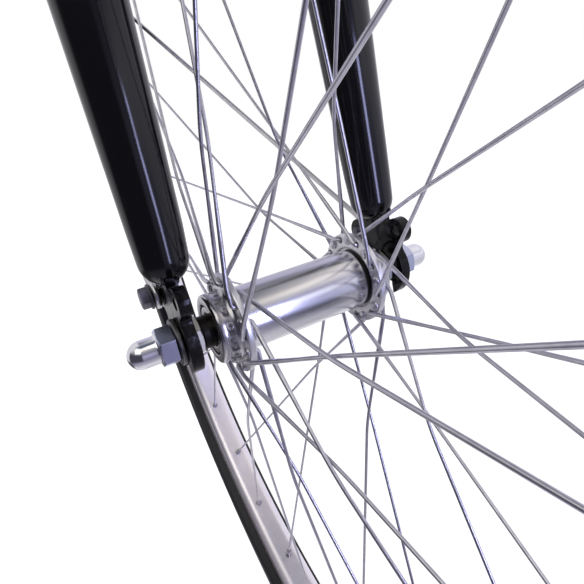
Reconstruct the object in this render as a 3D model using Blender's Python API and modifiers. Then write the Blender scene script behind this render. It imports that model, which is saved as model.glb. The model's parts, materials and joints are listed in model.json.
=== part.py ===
"""Front fork of a city bicycle with its wire wheel, its mudguard and the stay.

Metres. The origin is the crown race seat on the steering axis. +Z runs up the steering
axis, +X points forward and +Y to the rider's left. The wheel turns about a line along Y.
"""

import math

import bmesh
import bpy
from mathutils import Matrix, Vector

OBJECT_NAME = "bicycle_front_fork_with_wheel"

# Clearances
GAP = 0.0003
BEARING_GAP = 0.0005

# Rim, sized from the seat of the tyre's beads
BEAD_SEAT_RADIUS = 0.3110
RIM_FLANGE_HEIGHT = 0.0058
RIM_DEPTH = 0.0127
RIM_HALF_WIDTH = 0.0118
RIM_WALL = 0.0018
RIM_BED = 0.0030
BEAD_LAND = 0.0042
WELL_SLOPE = 0.0010
SEAT_SLOPE = 0.0015
RIM_CHAMFER_RISE = 0.0055
RIM_CHAMFER_RUN = 0.0060
RIM_EDGE_RADIUS = BEAD_SEAT_RADIUS + RIM_FLANGE_HEIGHT
RIM_INNER_RADIUS = BEAD_SEAT_RADIUS - RIM_DEPTH
RIM_WELL_HALF_WIDTH = RIM_HALF_WIDTH - RIM_WALL - BEAD_LAND

# Tyre
TYRE_SECTION = 0.0410
TYRE_SINK = 0.0020
TYRE_WALL = 0.0032
TYRE_BEAD = 0.0030
TYRE_NECK_RISE = 0.0010
TYRE_NECK_STEP = 0.0012
TYRE_OPENING = math.radians(8)
TYRE_RADIUS = BEAD_SEAT_RADIUS + TYRE_SECTION - TYRE_SINK
WHEEL_SEGMENTS = 40

# Mudguard, its bracket at the crown and its stay
MUDGUARD_SPACE = 0.0120
MUDGUARD_OVERHANG = 0.0065
MUDGUARD_DEPTH = 0.0120
MUDGUARD_THICKNESS = 0.0015
MUDGUARD_FRONT = math.radians(50)
MUDGUARD_REAR = math.radians(166)
MUDGUARD_STEPS = 18
MUDGUARD_RADIUS = TYRE_RADIUS + MUDGUARD_SPACE
MUDGUARD_HALF_WIDTH = TYRE_SECTION / 2 + MUDGUARD_OVERHANG
BRACKET_HALF_WIDTH = 0.008
BRACKET_THICKNESS = 0.002
BRACKET_FOOT = 0.026
STAY_RADIUS = 0.0015
STAY_CLEARANCE = 0.0009
STAY_STRAIGHT = 0.012
STAY_CORNER_DROP = 0.006
STAY_ANGLE = math.radians(148)

# Steering column
STEERER_RADIUS = 0.0143
STEERER_WALL = 0.0019
STEERER_RISE = 0.190
STEERER_RECESS = 0.0013
SEAT_STEP = 0.0007
SEAT_HEIGHT = 0.005
SEAT_CHAMFER = 0.001
SHOULDER_LEDGE = 0.0035
SHOULDER_HEIGHT = 0.005
RACE_OVERHANG = 0.001
RACE_HEIGHT = 0.006
RACE_LAND = 0.0025
SEAT_RADIUS = STEERER_RADIUS + SEAT_STEP
SHOULDER_RADIUS = SEAT_RADIUS + SHOULDER_LEDGE
RACE_RADIUS = SHOULDER_RADIUS + RACE_OVERHANG

# Axle and what is threaded on it
HUB_WIDTH = 0.100
AXLE_RADIUS = 0.00475
AXLE_END_PLAY = 0.001
NUT_FLATS = 0.0150
CONE_WALL = 0.00225
LOCKNUT_THICKNESS = 0.0027
WASHER_OVERHANG = 0.0011
WASHER_THICKNESS = 0.0020
CAP_NUT_HEX = 0.0065
CAP_WALL = 0.00115
CAP_LENGTH = 0.0121
CONE_RADIUS = AXLE_RADIUS + CONE_WALL
WASHER_RADIUS = NUT_FLATS / math.sqrt(3) + WASHER_OVERHANG
CAP_RADIUS = AXLE_RADIUS + CAP_WALL
CAP_STRAIGHT = CAP_LENGTH - CAP_RADIUS

# Dropouts
DROPOUT_THICKNESS = 0.005
DROPOUT_RIM = 0.00905
EYELET_LOBE = 0.0060
EYELET_HOLE = 0.0026
FRONT_EYELET_REACH = 0.0224
FRONT_EYELET_TURN = math.radians(-34.5)
REAR_EYELET_REACH = 0.0238
REAR_EYELET_TURN = math.radians(42)
NECK_INSET = 0.0026
NECK_INSERT = 0.017
NECK_CORNER = 0.002
NECK_FILLET = 0.002
LOBE_FILLET = 0.003
MOUTH_INSET = 0.00003
DROPOUT_LOBE = AXLE_RADIUS + GAP + DROPOUT_RIM
DROPOUT_INNER = HUB_WIDTH / 2
DROPOUT_OUTER = DROPOUT_INNER + DROPOUT_THICKNESS

# Bolts in the rear eyelets, and the eyes of the stay under them
EYELET_BOLT_FLATS = 0.0080
EYELET_BOLT_HEAD = 0.0035
EYELET_WASHER_COVER = 0.0009
EYELET_WASHER_THICKNESS = 0.0010
STAY_EYE_PLAY = 0.0008
EYELET_BOLT_RADIUS = EYELET_HOLE - GAP
STAY_EYE_RADIUS = EYELET_BOLT_RADIUS + STAY_EYE_PLAY + STAY_RADIUS
EYELET_WASHER_RADIUS = STAY_EYE_RADIUS + EYELET_WASHER_COVER

# Fork legs, measured along the blade from the foot beside the axle
BLADE_LEAN = math.radians(5.1)
AXLE_AHEAD = 0.003
BLADE_RADIUS = 0.0143
BLADE_END_RADIUS = 0.0102
BLADE_END = 0.0233
BLADE_END_ANGLE = math.radians(22)
TAPER_LENGTH = 0.148
BLADE_OFFSET = 0.0016
BLADE_CLEARANCE = 0.0062
CROWN_CLEARANCE = 0.0087
CROWN_GAP = 0.0007
CROWN_DROP = SHOULDER_HEIGHT + CROWN_GAP + BLADE_RADIUS
SPREAD_AT_END = DROPOUT_INNER + BLADE_OFFSET
SPREAD_AT_CROWN = MUDGUARD_HALF_WIDTH + BLADE_CLEARANCE + BLADE_RADIUS
CROWN_BEND = SPREAD_AT_CROWN - STEERER_RADIUS
LEG_RUN = MUDGUARD_RADIUS + CROWN_CLEARANCE + BLADE_RADIUS
STEERER_DROP = CROWN_DROP + BLADE_RADIUS - STEERER_RECESS
NECK_HALF_WIDTH = BLADE_END_RADIUS - NECK_INSET
NECK_TOP = BLADE_END + NECK_INSERT

# Hub
BARREL_RADIUS = 0.0140
BARREL_WALL = 0.0024
FLANGE_SETBACK = 0.0191
FLANGE_THICKNESS = 0.0030
FLANGE_MARGIN = 0.0030
SPIGOT_LENGTH = 0.008
CUP_STEP = 0.0012
CUP_LENGTH = 0.0083
CUP_LIP = 0.0015
CONE_COVER = 0.0082
FLANGE_INNER_FACE = DROPOUT_INNER - FLANGE_SETBACK
FLANGE_OUTER_FACE = FLANGE_INNER_FACE + FLANGE_THICKNESS
CUP_RADIUS = BARREL_RADIUS + CUP_STEP
CUP_FACE = FLANGE_OUTER_FACE + CUP_LENGTH
CONE_INNER_END = CUP_FACE - CONE_COVER

# Spokes, 36 of them laced three-cross
SPOKES_A_SIDE = 18
SPOKE_RADIUS = 0.0010
SPOKE_PLAY = 0.0005
SPOKE_HEAD_STEP = 0.0011
SPOKE_HEAD_LENGTH = 0.0012
SPOKE_SEAT = 0.0038
SPOKE_EDGE_SHARE = 0.026
CROSSING_SHARE = 0.2177
CROSSING_GAP = 0.0009
CROSSING_ACROSS = {1: 0.0233, -1: 0.0268}
SPOKE_PHASE = {1: math.radians(8.6), -1: math.radians(-1.4)}
SPOKE_TURN = {1: -1, -1: 1}
CROSSING_ANGLE = math.radians(60)
SPOKE_HOLE = SPOKE_RADIUS + SPOKE_PLAY
SPOKE_HEAD_RADIUS = SPOKE_RADIUS + SPOKE_HEAD_STEP
SPOKE_CIRCLE = CUP_RADIUS + SPOKE_SEAT
FLANGE_RADIUS = SPOKE_CIRCLE + FLANGE_MARGIN

# Nipples, each in one piece with its spoke
NIPPLE_WALL = 0.0010
NIPPLE_PLAY = 0.0006
NIPPLE_SEAT = 0.0004
NIPPLE_LENGTH = 0.0100
NIPPLE_NOSE = 0.0005
NIPPLE_HEAD_LENGTH = 0.0025
NIPPLE_OFFSET = 0.0010
NIPPLE_RADIUS = SPOKE_RADIUS + NIPPLE_WALL
NIPPLE_HOLE = NIPPLE_RADIUS + NIPPLE_PLAY
NIPPLE_HEAD_RADIUS = NIPPLE_HOLE + NIPPLE_SEAT

# Valve
VALVE_ANGLE = math.radians(273.6)
VALVE_RADIUS = 0.0040
VALVE_ROOT = 0.004
VALVE_LENGTH = 0.036
VALVE_CHAMFER = 0.001
VALVE_NUT_STEP = 0.0035
VALVE_NUT_THICKNESS = 0.003

UP = Vector((-math.sin(BLADE_LEAN), 0, math.cos(BLADE_LEAN)))
AHEAD = Vector((math.cos(BLADE_LEAN), 0, math.sin(BLADE_LEAN)))
LEFT = Vector((0, 1, 0))
FOOT = Vector((0, 0, -CROWN_DROP)) - UP * LEG_RUN
AXLE = FOOT + AHEAD * AXLE_AHEAD
SIDES = {"left": 1, "right": -1}
FUSE = 0.000001

PAINT = ("black_paint", (0.012, 0.012, 0.014), 0.12, 0.0)
ZINC = ("zinc_plate", (0.62, 0.62, 0.66), 0.28, 1.0)
CHROME = ("chrome_plate", (0.80, 0.80, 0.84), 0.10, 1.0)
BLACK_STEEL = ("black_oxide_steel", (0.030, 0.028, 0.028), 0.42, 0.9)
DARK_STEEL = ("dark_steel", (0.18, 0.17, 0.20), 0.38, 0.9)
BARREL_METAL = ("polished_aluminium", (0.78, 0.78, 0.80), 0.20, 1.0)
FLANGE_METAL = ("bright_steel", (0.66, 0.66, 0.70), 0.24, 1.0)
STAINLESS = ("stainless_wire", (0.50, 0.49, 0.54), 0.26, 1.0)
RIM_METAL = ("anodised_aluminium", (0.72, 0.71, 0.76), 0.34, 1.0)
RUBBER = ("tyre_rubber", (0.022, 0.022, 0.025), 0.70, 0.0)
BRASS = ("valve_brass", (0.62, 0.55, 0.40), 0.32, 1.0)
BLACK_PLASTIC = ("mudguard_plastic", (0.015, 0.015, 0.017), 0.28, 0.0)


def clear_scene():
    for obj in list(bpy.data.objects):
        bpy.data.objects.remove(obj, do_unlink=True)


def new_collection(name):
    collection = bpy.data.collections.new(name)
    bpy.context.scene.collection.children.link(collection)
    return collection


def material(finish):
    name, colour, roughness, metallic = finish
    found = bpy.data.materials.get(name)
    if found:
        return found
    made = bpy.data.materials.new(name)
    made.use_nodes = True
    shader = made.node_tree.nodes["Principled BSDF"]
    shader.inputs["Base Color"].default_value = (*colour, 1)
    shader.inputs["Roughness"].default_value = roughness
    shader.inputs["Metallic"].default_value = metallic
    made.diffuse_color = (*colour, 1)
    return made


class Workshop:
    """Keeps the finished pieces and the cutters in their two collections."""

    def __init__(self):
        self.parts = new_collection(OBJECT_NAME)
        self.tools = new_collection("cutters")

    def add(self, name, data, finish, parent=None, side=0):
        """A piece; with a side its local Z axis points outboard on that side."""
        obj = bpy.data.objects.new(name, data)
        self.parts.objects.link(obj)
        data.materials.append(material(finish))
        obj.parent = parent
        obj.rotation_euler = (-side * math.pi / 2, 0, 0)
        return obj

    def cutter(self, name, data, parent=None, side=0):
        obj = bpy.data.objects.new(name, data)
        self.tools.objects.link(obj)
        obj.parent = parent
        obj.rotation_euler = (-side * math.pi / 2, 0, 0)
        obj.hide_render = True
        obj.display_type = "WIRE"
        return obj

    def empty(self, name, place):
        obj = bpy.data.objects.new(name, None)
        self.parts.objects.link(obj)
        obj.location = place
        return obj


def boolean(obj, tool, operation="DIFFERENCE"):
    modifier = obj.modifiers.new(tool.name, "BOOLEAN")
    modifier.operation = operation
    modifier.solver = "EXACT"
    modifier.object = tool


def mesh_from(build, name):
    """Runs build on an empty bmesh and returns the mesh."""
    work = bmesh.new()
    build(work)
    mesh = bpy.data.meshes.new(name)
    work.to_mesh(mesh)
    work.free()
    return mesh


def profile_mesh(name, points, closed):
    """The edges of a profile of (radius, height) points in the XZ plane."""
    def build(work):
        verts = [work.verts.new((radius, 0, height)) for radius, height in points]
        ends = verts[1:] + verts[:1] if closed else verts[1:]
        for start, end in zip(verts, ends):
            work.edges.new((start, end))
    return mesh_from(build, name)


def spin(obj, segments):
    """Turns a profile about the object's local Z axis."""
    screw = obj.modifiers.new("turn", "SCREW")
    screw.axis = "Z"
    screw.steps = segments
    screw.render_steps = segments
    screw.use_merge_vertices = True
    screw.merge_threshold = 0.00001
    screw.use_smooth_shade = True


def cylinder(radius, low, high, segments=24, matrix=None):
    """A bmesh builder for a cylinder along local Z between two heights."""
    def build(work):
        place = Matrix.Translation((0, 0, (low + high) / 2))
        bmesh.ops.create_cone(
            work, cap_ends=True, segments=segments, radius1=radius, radius2=radius,
            depth=high - low, matrix=(matrix or Matrix.Identity(4)) @ place)
    return build


def hexagon(flats, low, high):
    return cylinder(flats / math.sqrt(3), low, high, segments=6)


def mesh_of_curve(curve, matrix=None):
    """The curve's mesh with its caps welded on, and its guide object removed."""
    guide = bpy.data.objects.new(curve.name, curve)
    bpy.context.scene.collection.objects.link(guide)
    depsgraph = bpy.context.evaluated_depsgraph_get()
    mesh = bpy.data.meshes.new_from_object(guide.evaluated_get(depsgraph))
    bpy.data.objects.remove(guide)
    work = bmesh.new()
    work.from_mesh(mesh)
    bmesh.ops.remove_doubles(work, verts=work.verts, dist=FUSE)
    bmesh.ops.transform(work, matrix=matrix or Matrix.Identity(4), verts=work.verts)
    bmesh.ops.recalc_face_normals(work, faces=work.faces)
    work.to_mesh(mesh)
    work.free()
    return mesh


def curve_mesh(name, points, radii, sides):
    """A mesh of a round bar through the points, with its own radius at each."""
    curve = bpy.data.curves.new(name, "CURVE")
    curve.dimensions = "3D"
    curve.bevel_depth = max(radii)
    curve.bevel_resolution = sides // 2 - 2
    curve.use_fill_caps = True
    spline = curve.splines.new("POLY")
    spline.points.add(len(points) - 1)
    for point, place, radius in zip(spline.points, points, radii):
        point.co = (*place, 1)
        point.radius = radius / curve.bevel_depth
    return mesh_of_curve(curve)


def belt(circles, step=math.radians(22)):
    """An outline of arcs and their tangents round (x, y, radius) circles.

    It runs anticlockwise. A negative radius makes a hollow fillet.
    """
    count = len(circles)
    lines = []
    for index, (x1, y1, r1) in enumerate(circles):
        x2, y2, r2 = circles[(index + 1) % count]
        lines.append(math.atan2(y2 - y1, x2 - x1)
                     + math.asin((r1 - r2) / math.hypot(x2 - x1, y2 - y1)) - math.pi / 2)
    outline = []
    for index, (x, y, radius) in enumerate(circles):
        start, end = lines[index - 1], lines[index]
        sweep = (end - start) % (2 * math.pi)
        if radius < 0:
            sweep -= 2 * math.pi
        pieces = max(1, round(abs(sweep) / step))
        for number in range(pieces + 1):
            angle = start + sweep * number / pieces
            outline.append((x + radius * math.cos(angle), y + radius * math.sin(angle)))
    return outline


def hollow(first, second, radius):
    """The circle that fillets the gap between two (x, y, radius) circles.

    It lies to the right of the way from the first to the second, outside an
    anticlockwise outline, and touches both.
    """
    near, far = (circle[2] + radius + FUSE for circle in (first, second))
    x, y = second[0] - first[0], second[1] - first[1]
    distance = math.hypot(x, y)
    along = (near ** 2 - far ** 2 + distance ** 2) / (2 * distance)
    aside = math.sqrt(near ** 2 - along ** 2)
    x, y = x / distance, y / distance
    return (first[0] + along * x + aside * y, first[1] + along * y - aside * x, -radius)


def plate_mesh(name, outline, thickness, matrix):
    """A flat plate with a 2D outline, its middle plane placed by the matrix."""
    curve = bpy.data.curves.new(name, "CURVE")
    curve.dimensions = "2D"
    curve.fill_mode = "BOTH"
    curve.extrude = thickness / 2
    spline = curve.splines.new("POLY")
    spline.points.add(len(outline) - 1)
    for point, (x, y) in zip(spline.points, outline):
        point.co = (x, y, 0, 1)
    spline.use_cyclic_u = True
    return mesh_of_curve(curve, matrix)


def make_steerer(shop):
    """The steerer tube with the seat and shoulder of the crown race."""
    top, bottom = STEERER_RISE, -STEERER_DROP
    bore = STEERER_RADIUS - STEERER_WALL
    profile = [
        (STEERER_RADIUS, top),
        (STEERER_RADIUS, SEAT_HEIGHT + SEAT_CHAMFER),
        (SEAT_RADIUS, SEAT_HEIGHT),
        (SEAT_RADIUS, 0),
        (SHOULDER_RADIUS, 0),
        (SHOULDER_RADIUS, -SHOULDER_HEIGHT),
        (STEERER_RADIUS, -SHOULDER_HEIGHT),
        (STEERER_RADIUS, bottom),
        (bore, bottom),
        (bore, top),
    ]
    obj = shop.add("steerer_tube", profile_mesh("steerer_tube", profile, True), PAINT)
    spin(obj, 24)


def make_crown_race(shop):
    """The lower headset race, pressed on its seat."""
    inner = SEAT_RADIUS + GAP
    profile = [
        (inner + RACE_LAND, RACE_HEIGHT),
        (RACE_RADIUS, RACE_HEIGHT / 2),
        (RACE_RADIUS, GAP),
        (inner, GAP),
        (inner, RACE_HEIGHT),
    ]
    obj = shop.add("crown_race", profile_mesh("crown_race", profile, True), ZINC)
    spin(obj, 24)


def leg_point(run, spread, side):
    return FOOT + UP * run + LEFT * (side * spread)


def blade_mesh(name, side):
    """The blade: a rounded lower end, a taper, a straight run and the crown bend."""
    bend_start = LEG_RUN - CROWN_BEND
    taper_top = BLADE_END + TAPER_LENGTH
    points, radii = [], []
    end_steps = 4
    for number in range(end_steps + 1):
        angle = BLADE_END_ANGLE + (math.pi / 2 - BLADE_END_ANGLE) * number / end_steps
        run = BLADE_END + BLADE_END_RADIUS * (1 - math.cos(angle))
        points.append(leg_point(run, SPREAD_AT_END, side))
        radii.append(BLADE_END_RADIUS * math.sin(angle))
    share = (taper_top - BLADE_END) / (bend_start - BLADE_END)
    spread = SPREAD_AT_END + (SPREAD_AT_CROWN - SPREAD_AT_END) * share
    points.append(leg_point(taper_top, spread, side))
    radii.append(BLADE_RADIUS)
    bend_steps = 7
    for number in range(bend_steps + 1):
        angle = math.pi / 2 * number / bend_steps
        points.append(leg_point(
            bend_start + CROWN_BEND * math.sin(angle),
            SPREAD_AT_CROWN - CROWN_BEND * (1 - math.cos(angle)), side))
        radii.append(BLADE_RADIUS)
    points.append(leg_point(LEG_RUN, STEERER_RADIUS / 2, side))
    radii.append(BLADE_RADIUS)
    return curve_mesh(name, points, radii, 14)


def dropout_outline():
    """In the plate's plane: x ahead of the axle, y up along the blade."""
    def eyelet(reach, turn):
        return (-reach * math.sin(turn), reach * math.cos(turn), EYELET_LOBE)
    centre = -AXLE_AHEAD
    corner = NECK_HALF_WIDTH - NECK_CORNER
    lobe = (0, 0, DROPOUT_LOBE)
    rear = eyelet(REAR_EYELET_REACH, REAR_EYELET_TURN)
    front = eyelet(FRONT_EYELET_REACH, FRONT_EYELET_TURN)

    def neck_fillet(side, eye):
        across = centre + side * (NECK_HALF_WIDTH + NECK_FILLET)
        reach = EYELET_LOBE + NECK_FILLET + FUSE
        return (across, eye[1] + math.sqrt(reach ** 2 - (across - eye[0]) ** 2), -NECK_FILLET)
    return belt([
        lobe,
        hollow(lobe, front, LOBE_FILLET),
        front,
        neck_fillet(1, front),
        (centre + corner, NECK_TOP - NECK_CORNER, NECK_CORNER),
        (centre - corner, NECK_TOP - NECK_CORNER, NECK_CORNER),
        neck_fillet(-1, rear),
        rear,
        hollow(rear, lobe, LOBE_FILLET),
    ])


def plate_matrix(side):
    """Takes the dropout's drawing plane to its place beside the hub."""
    across = (DROPOUT_INNER + DROPOUT_OUTER) / 2
    axes = Matrix((AHEAD, UP, AHEAD.cross(UP))).transposed().to_4x4()
    return Matrix.Translation(AXLE + LEFT * (side * across)) @ axes


def eyelet_place(reach, turn):
    return AXLE + AHEAD * (-reach * math.sin(turn)) + UP * (reach * math.cos(turn))


def across_matrix(place):
    """Takes local Z to world Y at a place."""
    return Matrix.Translation(place) @ Matrix.Rotation(-math.pi / 2, 4, "X")


def across_bar(work, place, radius, side, segments):
    """A round bar from the middle of the hub out past the dropout on one side."""
    reach = DROPOUT_OUTER + DROPOUT_THICKNESS
    bmesh.ops.create_cone(
        work, cap_ends=True, segments=segments, radius1=radius, radius2=radius,
        depth=reach, matrix=across_matrix(place + LEFT * (side * reach / 2)))


def axle_hole_mesh(side):
    def build(work):
        across_bar(work, AXLE, AXLE_RADIUS + GAP, side, 24)
    return mesh_from(build, "axle_hole")


def axle_mouth_mesh(side):
    """The open end of the slot, straight down from the axle."""
    width = 2 * (AXLE_RADIUS + GAP - MOUTH_INSET)
    across = DROPOUT_OUTER + DROPOUT_THICKNESS
    depth = 2 * DROPOUT_LOBE

    def build(work):
        axes = Matrix((AHEAD, LEFT, UP)).transposed().to_4x4()
        place = Matrix.Translation(AXLE + LEFT * (side * across / 2) - UP * depth / 2)
        size = Matrix.Diagonal((width, across, depth, 1))
        bmesh.ops.create_cube(work, size=1, matrix=place @ axes @ size)
    return mesh_from(build, "axle_mouth")


def eyelet_drill_mesh(side):
    def build(work):
        for reach, turn in ((FRONT_EYELET_REACH, FRONT_EYELET_TURN),
                            (REAR_EYELET_REACH, REAR_EYELET_TURN)):
            across_bar(work, eyelet_place(reach, turn), EYELET_HOLE, side, 12)
    return mesh_from(build, "eyelet_drill")


def make_leg(shop, hand, side):
    """One leg: the blade with its dropout plate welded into the end."""
    name = "fork_leg_" + hand
    obj = shop.add(name, blade_mesh(name, side), PAINT)
    plate = shop.cutter("dropout_plate_" + hand, plate_mesh(
        "dropout_plate_" + hand, dropout_outline(), DROPOUT_THICKNESS, plate_matrix(side)))
    boolean(obj, plate, "UNION")
    column = shop.cutter("steerer_cope_" + hand, mesh_from(
        cylinder(STEERER_RADIUS + GAP, -LEG_RUN / 2, STEERER_RISE, 32), "steerer_cope"))
    boolean(obj, column)
    boolean(obj, shop.cutter("axle_hole_" + hand, axle_hole_mesh(side)))
    boolean(obj, shop.cutter("axle_mouth_" + hand, axle_mouth_mesh(side)))
    boolean(obj, shop.cutter("eyelet_drill_" + hand, eyelet_drill_mesh(side)))


def make_axle(shop, parent):
    reach = axle_reach()
    shop.add("axle", mesh_from(cylinder(AXLE_RADIUS, -reach, reach, 20), "axle"),
             DARK_STEEL, parent, 1)


def washer_face():
    return DROPOUT_OUTER + GAP


def nut_face():
    return washer_face() + WASHER_THICKNESS + GAP


def axle_reach():
    return nut_face() + CAP_NUT_HEX + CAP_STRAIGHT - AXLE_END_PLAY


def make_cone(shop, hand, side, parent):
    """The black cone, of which the sleeve outside the hub shows."""
    outer = DROPOUT_INNER - GAP - LOCKNUT_THICKNESS - GAP
    bore = AXLE_RADIUS + GAP
    profile = [(CONE_RADIUS, outer), (CONE_RADIUS, CONE_INNER_END),
               (bore, CONE_INNER_END), (bore, outer)]
    obj = shop.add("cone_" + hand, profile_mesh("cone_" + hand, profile, True),
                   BLACK_STEEL, parent, side)
    spin(obj, 18)


def make_locknut(shop, hand, side, parent):
    outer = DROPOUT_INNER - GAP
    name = "locknut_" + hand
    obj = shop.add(name, mesh_from(
        hexagon(NUT_FLATS, outer - LOCKNUT_THICKNESS, outer), name), ZINC, parent, side)
    drill = shop.cutter("locknut_drill_" + hand, mesh_from(
        cylinder(AXLE_RADIUS + GAP, 0, HUB_WIDTH), "locknut_drill"), parent, side)
    boolean(obj, drill)


def make_washer(shop, hand, side, parent):
    low = washer_face()
    bore = AXLE_RADIUS + GAP
    high = low + WASHER_THICKNESS
    profile = [(WASHER_RADIUS, high), (WASHER_RADIUS, low), (bore, low), (bore, high)]
    obj = shop.add("washer_" + hand, profile_mesh("washer_" + hand, profile, True),
                   ZINC, parent, side)
    spin(obj, 20)


def make_cap_nut(shop, hand, side, parent):
    """The domed nut: a hexagon, a round cap and a blind bore for the axle."""
    name = "cap_nut_" + hand
    low = nut_face()
    shoulder = low + CAP_NUT_HEX
    obj = shop.add(name, mesh_from(hexagon(NUT_FLATS, low, shoulder), name),
                   CHROME, parent, side)
    steps = 5
    dome = [(0, shoulder + CAP_LENGTH)]
    for number in range(1, steps + 1):
        angle = math.pi / 2 * number / steps
        dome.append((CAP_RADIUS * math.sin(angle),
                     shoulder + CAP_STRAIGHT + CAP_RADIUS * math.cos(angle)))
    dome += [(CAP_RADIUS, low + CAP_NUT_HEX / 2), (0, low + CAP_NUT_HEX / 2)]
    cap = shop.cutter("cap_" + hand, profile_mesh("cap_" + hand, dome, False), parent, side)
    spin(cap, 18)
    boolean(obj, cap, "UNION")
    drill = shop.cutter("cap_drill_" + hand, mesh_from(
        cylinder(AXLE_RADIUS + GAP, 0, shoulder + CAP_STRAIGHT), "cap_drill"), parent, side)
    boolean(obj, drill)


def make_eyelet_bolt(shop, hand, side):
    """The bolt that holds the stay's eye on the rear eyelet."""
    name = "eyelet_bolt_" + hand
    washer_low = DROPOUT_OUTER + GAP + 2 * STAY_RADIUS + GAP
    head_low = washer_low + EYELET_WASHER_THICKNESS
    place = eyelet_place(REAR_EYELET_REACH, REAR_EYELET_TURN)
    obj = shop.add(name, mesh_from(
        hexagon(EYELET_BOLT_FLATS, head_low, head_low + EYELET_BOLT_HEAD), name),
        DARK_STEEL, None, side)
    obj.location = place
    top = head_low + EYELET_BOLT_HEAD / 2
    profile = [(0, top), (EYELET_BOLT_RADIUS, top), (EYELET_WASHER_RADIUS, head_low),
               (EYELET_WASHER_RADIUS, washer_low), (EYELET_BOLT_RADIUS, washer_low),
               (EYELET_BOLT_RADIUS, DROPOUT_INNER + GAP), (0, DROPOUT_INNER + GAP)]
    shank = shop.cutter("eyelet_shank_" + hand, profile_mesh(
        "eyelet_shank_" + hand, profile, False), None, side)
    shank.location = place
    spin(shank, 16)
    boolean(obj, shank, "UNION")


def make_barrel(shop, parent):
    reach = FLANGE_INNER_FACE - GAP
    bore = BARREL_RADIUS - BARREL_WALL
    profile = [(BARREL_RADIUS, reach), (BARREL_RADIUS, -reach), (bore, -reach), (bore, reach)]
    obj = shop.add("hub_barrel", profile_mesh("hub_barrel", profile, True),
                   BARREL_METAL, parent, 1)
    spin(obj, 36)


def spoke_hole(side, number):
    return SPOKE_PHASE[side] + 2 * math.pi * number / SPOKES_A_SIDE


def polar(radius, angle, across):
    """A place about the axle: the angle runs from forward towards up."""
    return Vector((radius * math.cos(angle), across, radius * math.sin(angle)))


def make_flange(shop, hand, side, parent):
    """A spoke flange with the bearing cup and its spigot in the barrel."""
    name = "hub_flange_" + hand
    face = FLANGE_INNER_FACE
    spigot = BARREL_RADIUS - BARREL_WALL - GAP
    bore = CONE_RADIUS + BEARING_GAP
    profile = [
        (CUP_RADIUS - CUP_LIP, CUP_FACE),
        (CUP_RADIUS, CUP_FACE - CUP_LIP),
        (CUP_RADIUS, FLANGE_OUTER_FACE),
        (FLANGE_RADIUS, FLANGE_OUTER_FACE),
        (FLANGE_RADIUS, face),
        (spigot, face),
        (spigot, face - SPIGOT_LENGTH),
        (bore, face - SPIGOT_LENGTH),
        (bore, CUP_FACE),
    ]
    obj = shop.add(name, profile_mesh(name, profile, True), FLANGE_METAL, parent, side)
    spin(obj, 26)
    middle = (face + FLANGE_OUTER_FACE) / 2

    def drill(work):
        for number in range(SPOKES_A_SIDE):
            place = polar(SPOKE_CIRCLE, spoke_hole(side, number), side * middle)
            bmesh.ops.create_cone(
                work, cap_ends=True, segments=6, radius1=SPOKE_HOLE, radius2=SPOKE_HOLE,
                depth=2 * FLANGE_THICKNESS, matrix=across_matrix(place))
    boolean(obj, shop.cutter("spoke_drill_" + hand, mesh_from(drill, "spoke_drill"), parent))


def spoke_line(side, number):
    """A spoke's place beside its hole, at the flange's edge, at the crossing and in the rim.

    Outside spokes leave from the flange's outer face and pass inboard of the others where
    they cross for the third time. The last value points back through the flange.
    """
    outside = number % 2 == 0
    turn = SPOKE_TURN[side] if outside else -SPOKE_TURN[side]
    hole = spoke_hole(side, number)
    middle = FLANGE_INNER_FACE + FLANGE_THICKNESS / 2
    lift = FLANGE_THICKNESS / 2 + GAP + SPOKE_RADIUS
    face = 1 if outside else -1
    leave = polar(SPOKE_CIRCLE, hole, side * (middle + face * lift))
    seat = polar(RIM_INNER_RADIUS + RIM_BED, hole + turn * CROSSING_ANGLE,
                 side * NIPPLE_OFFSET)
    edge = leave.lerp(seat, SPOKE_EDGE_SHARE)
    edge.y = leave.y
    crossing = leave.lerp(seat, CROSSING_SHARE)
    crossing.y = side * (CROSSING_ACROSS[side] - face * (SPOKE_RADIUS + CROSSING_GAP / 2))
    return leave, edge, crossing, seat, -face * side


def make_spoke(shop, hand, side, number, parent):
    """A spoke from its head, through the flange and round its elbow, to the nipple."""
    leave, edge, crossing, seat, inward = spoke_line(side, number)
    name = f"spoke_{hand}_{number + 1:02d}"
    along = (seat - crossing).normalized()
    back = LEFT * inward
    through = FLANGE_THICKNESS + 2 * GAP + SPOKE_RADIUS
    points = [
        leave + back * (through + SPOKE_HEAD_LENGTH),
        leave + back * through,
        leave,
        edge,
        crossing,
    ]
    radii = [SPOKE_HEAD_RADIUS] + [SPOKE_RADIUS] * 4
    for distance, radius in (
            (-NIPPLE_LENGTH - NIPPLE_NOSE, SPOKE_RADIUS),
            (-NIPPLE_LENGTH, NIPPLE_RADIUS),
            (GAP, NIPPLE_RADIUS),
            (GAP + NIPPLE_HEAD_LENGTH, NIPPLE_HEAD_RADIUS)):
        points.append(seat + along * distance)
        radii.append(radius)
    shop.add(name, curve_mesh(name, points, radii, 6), STAINLESS, parent)


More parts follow.
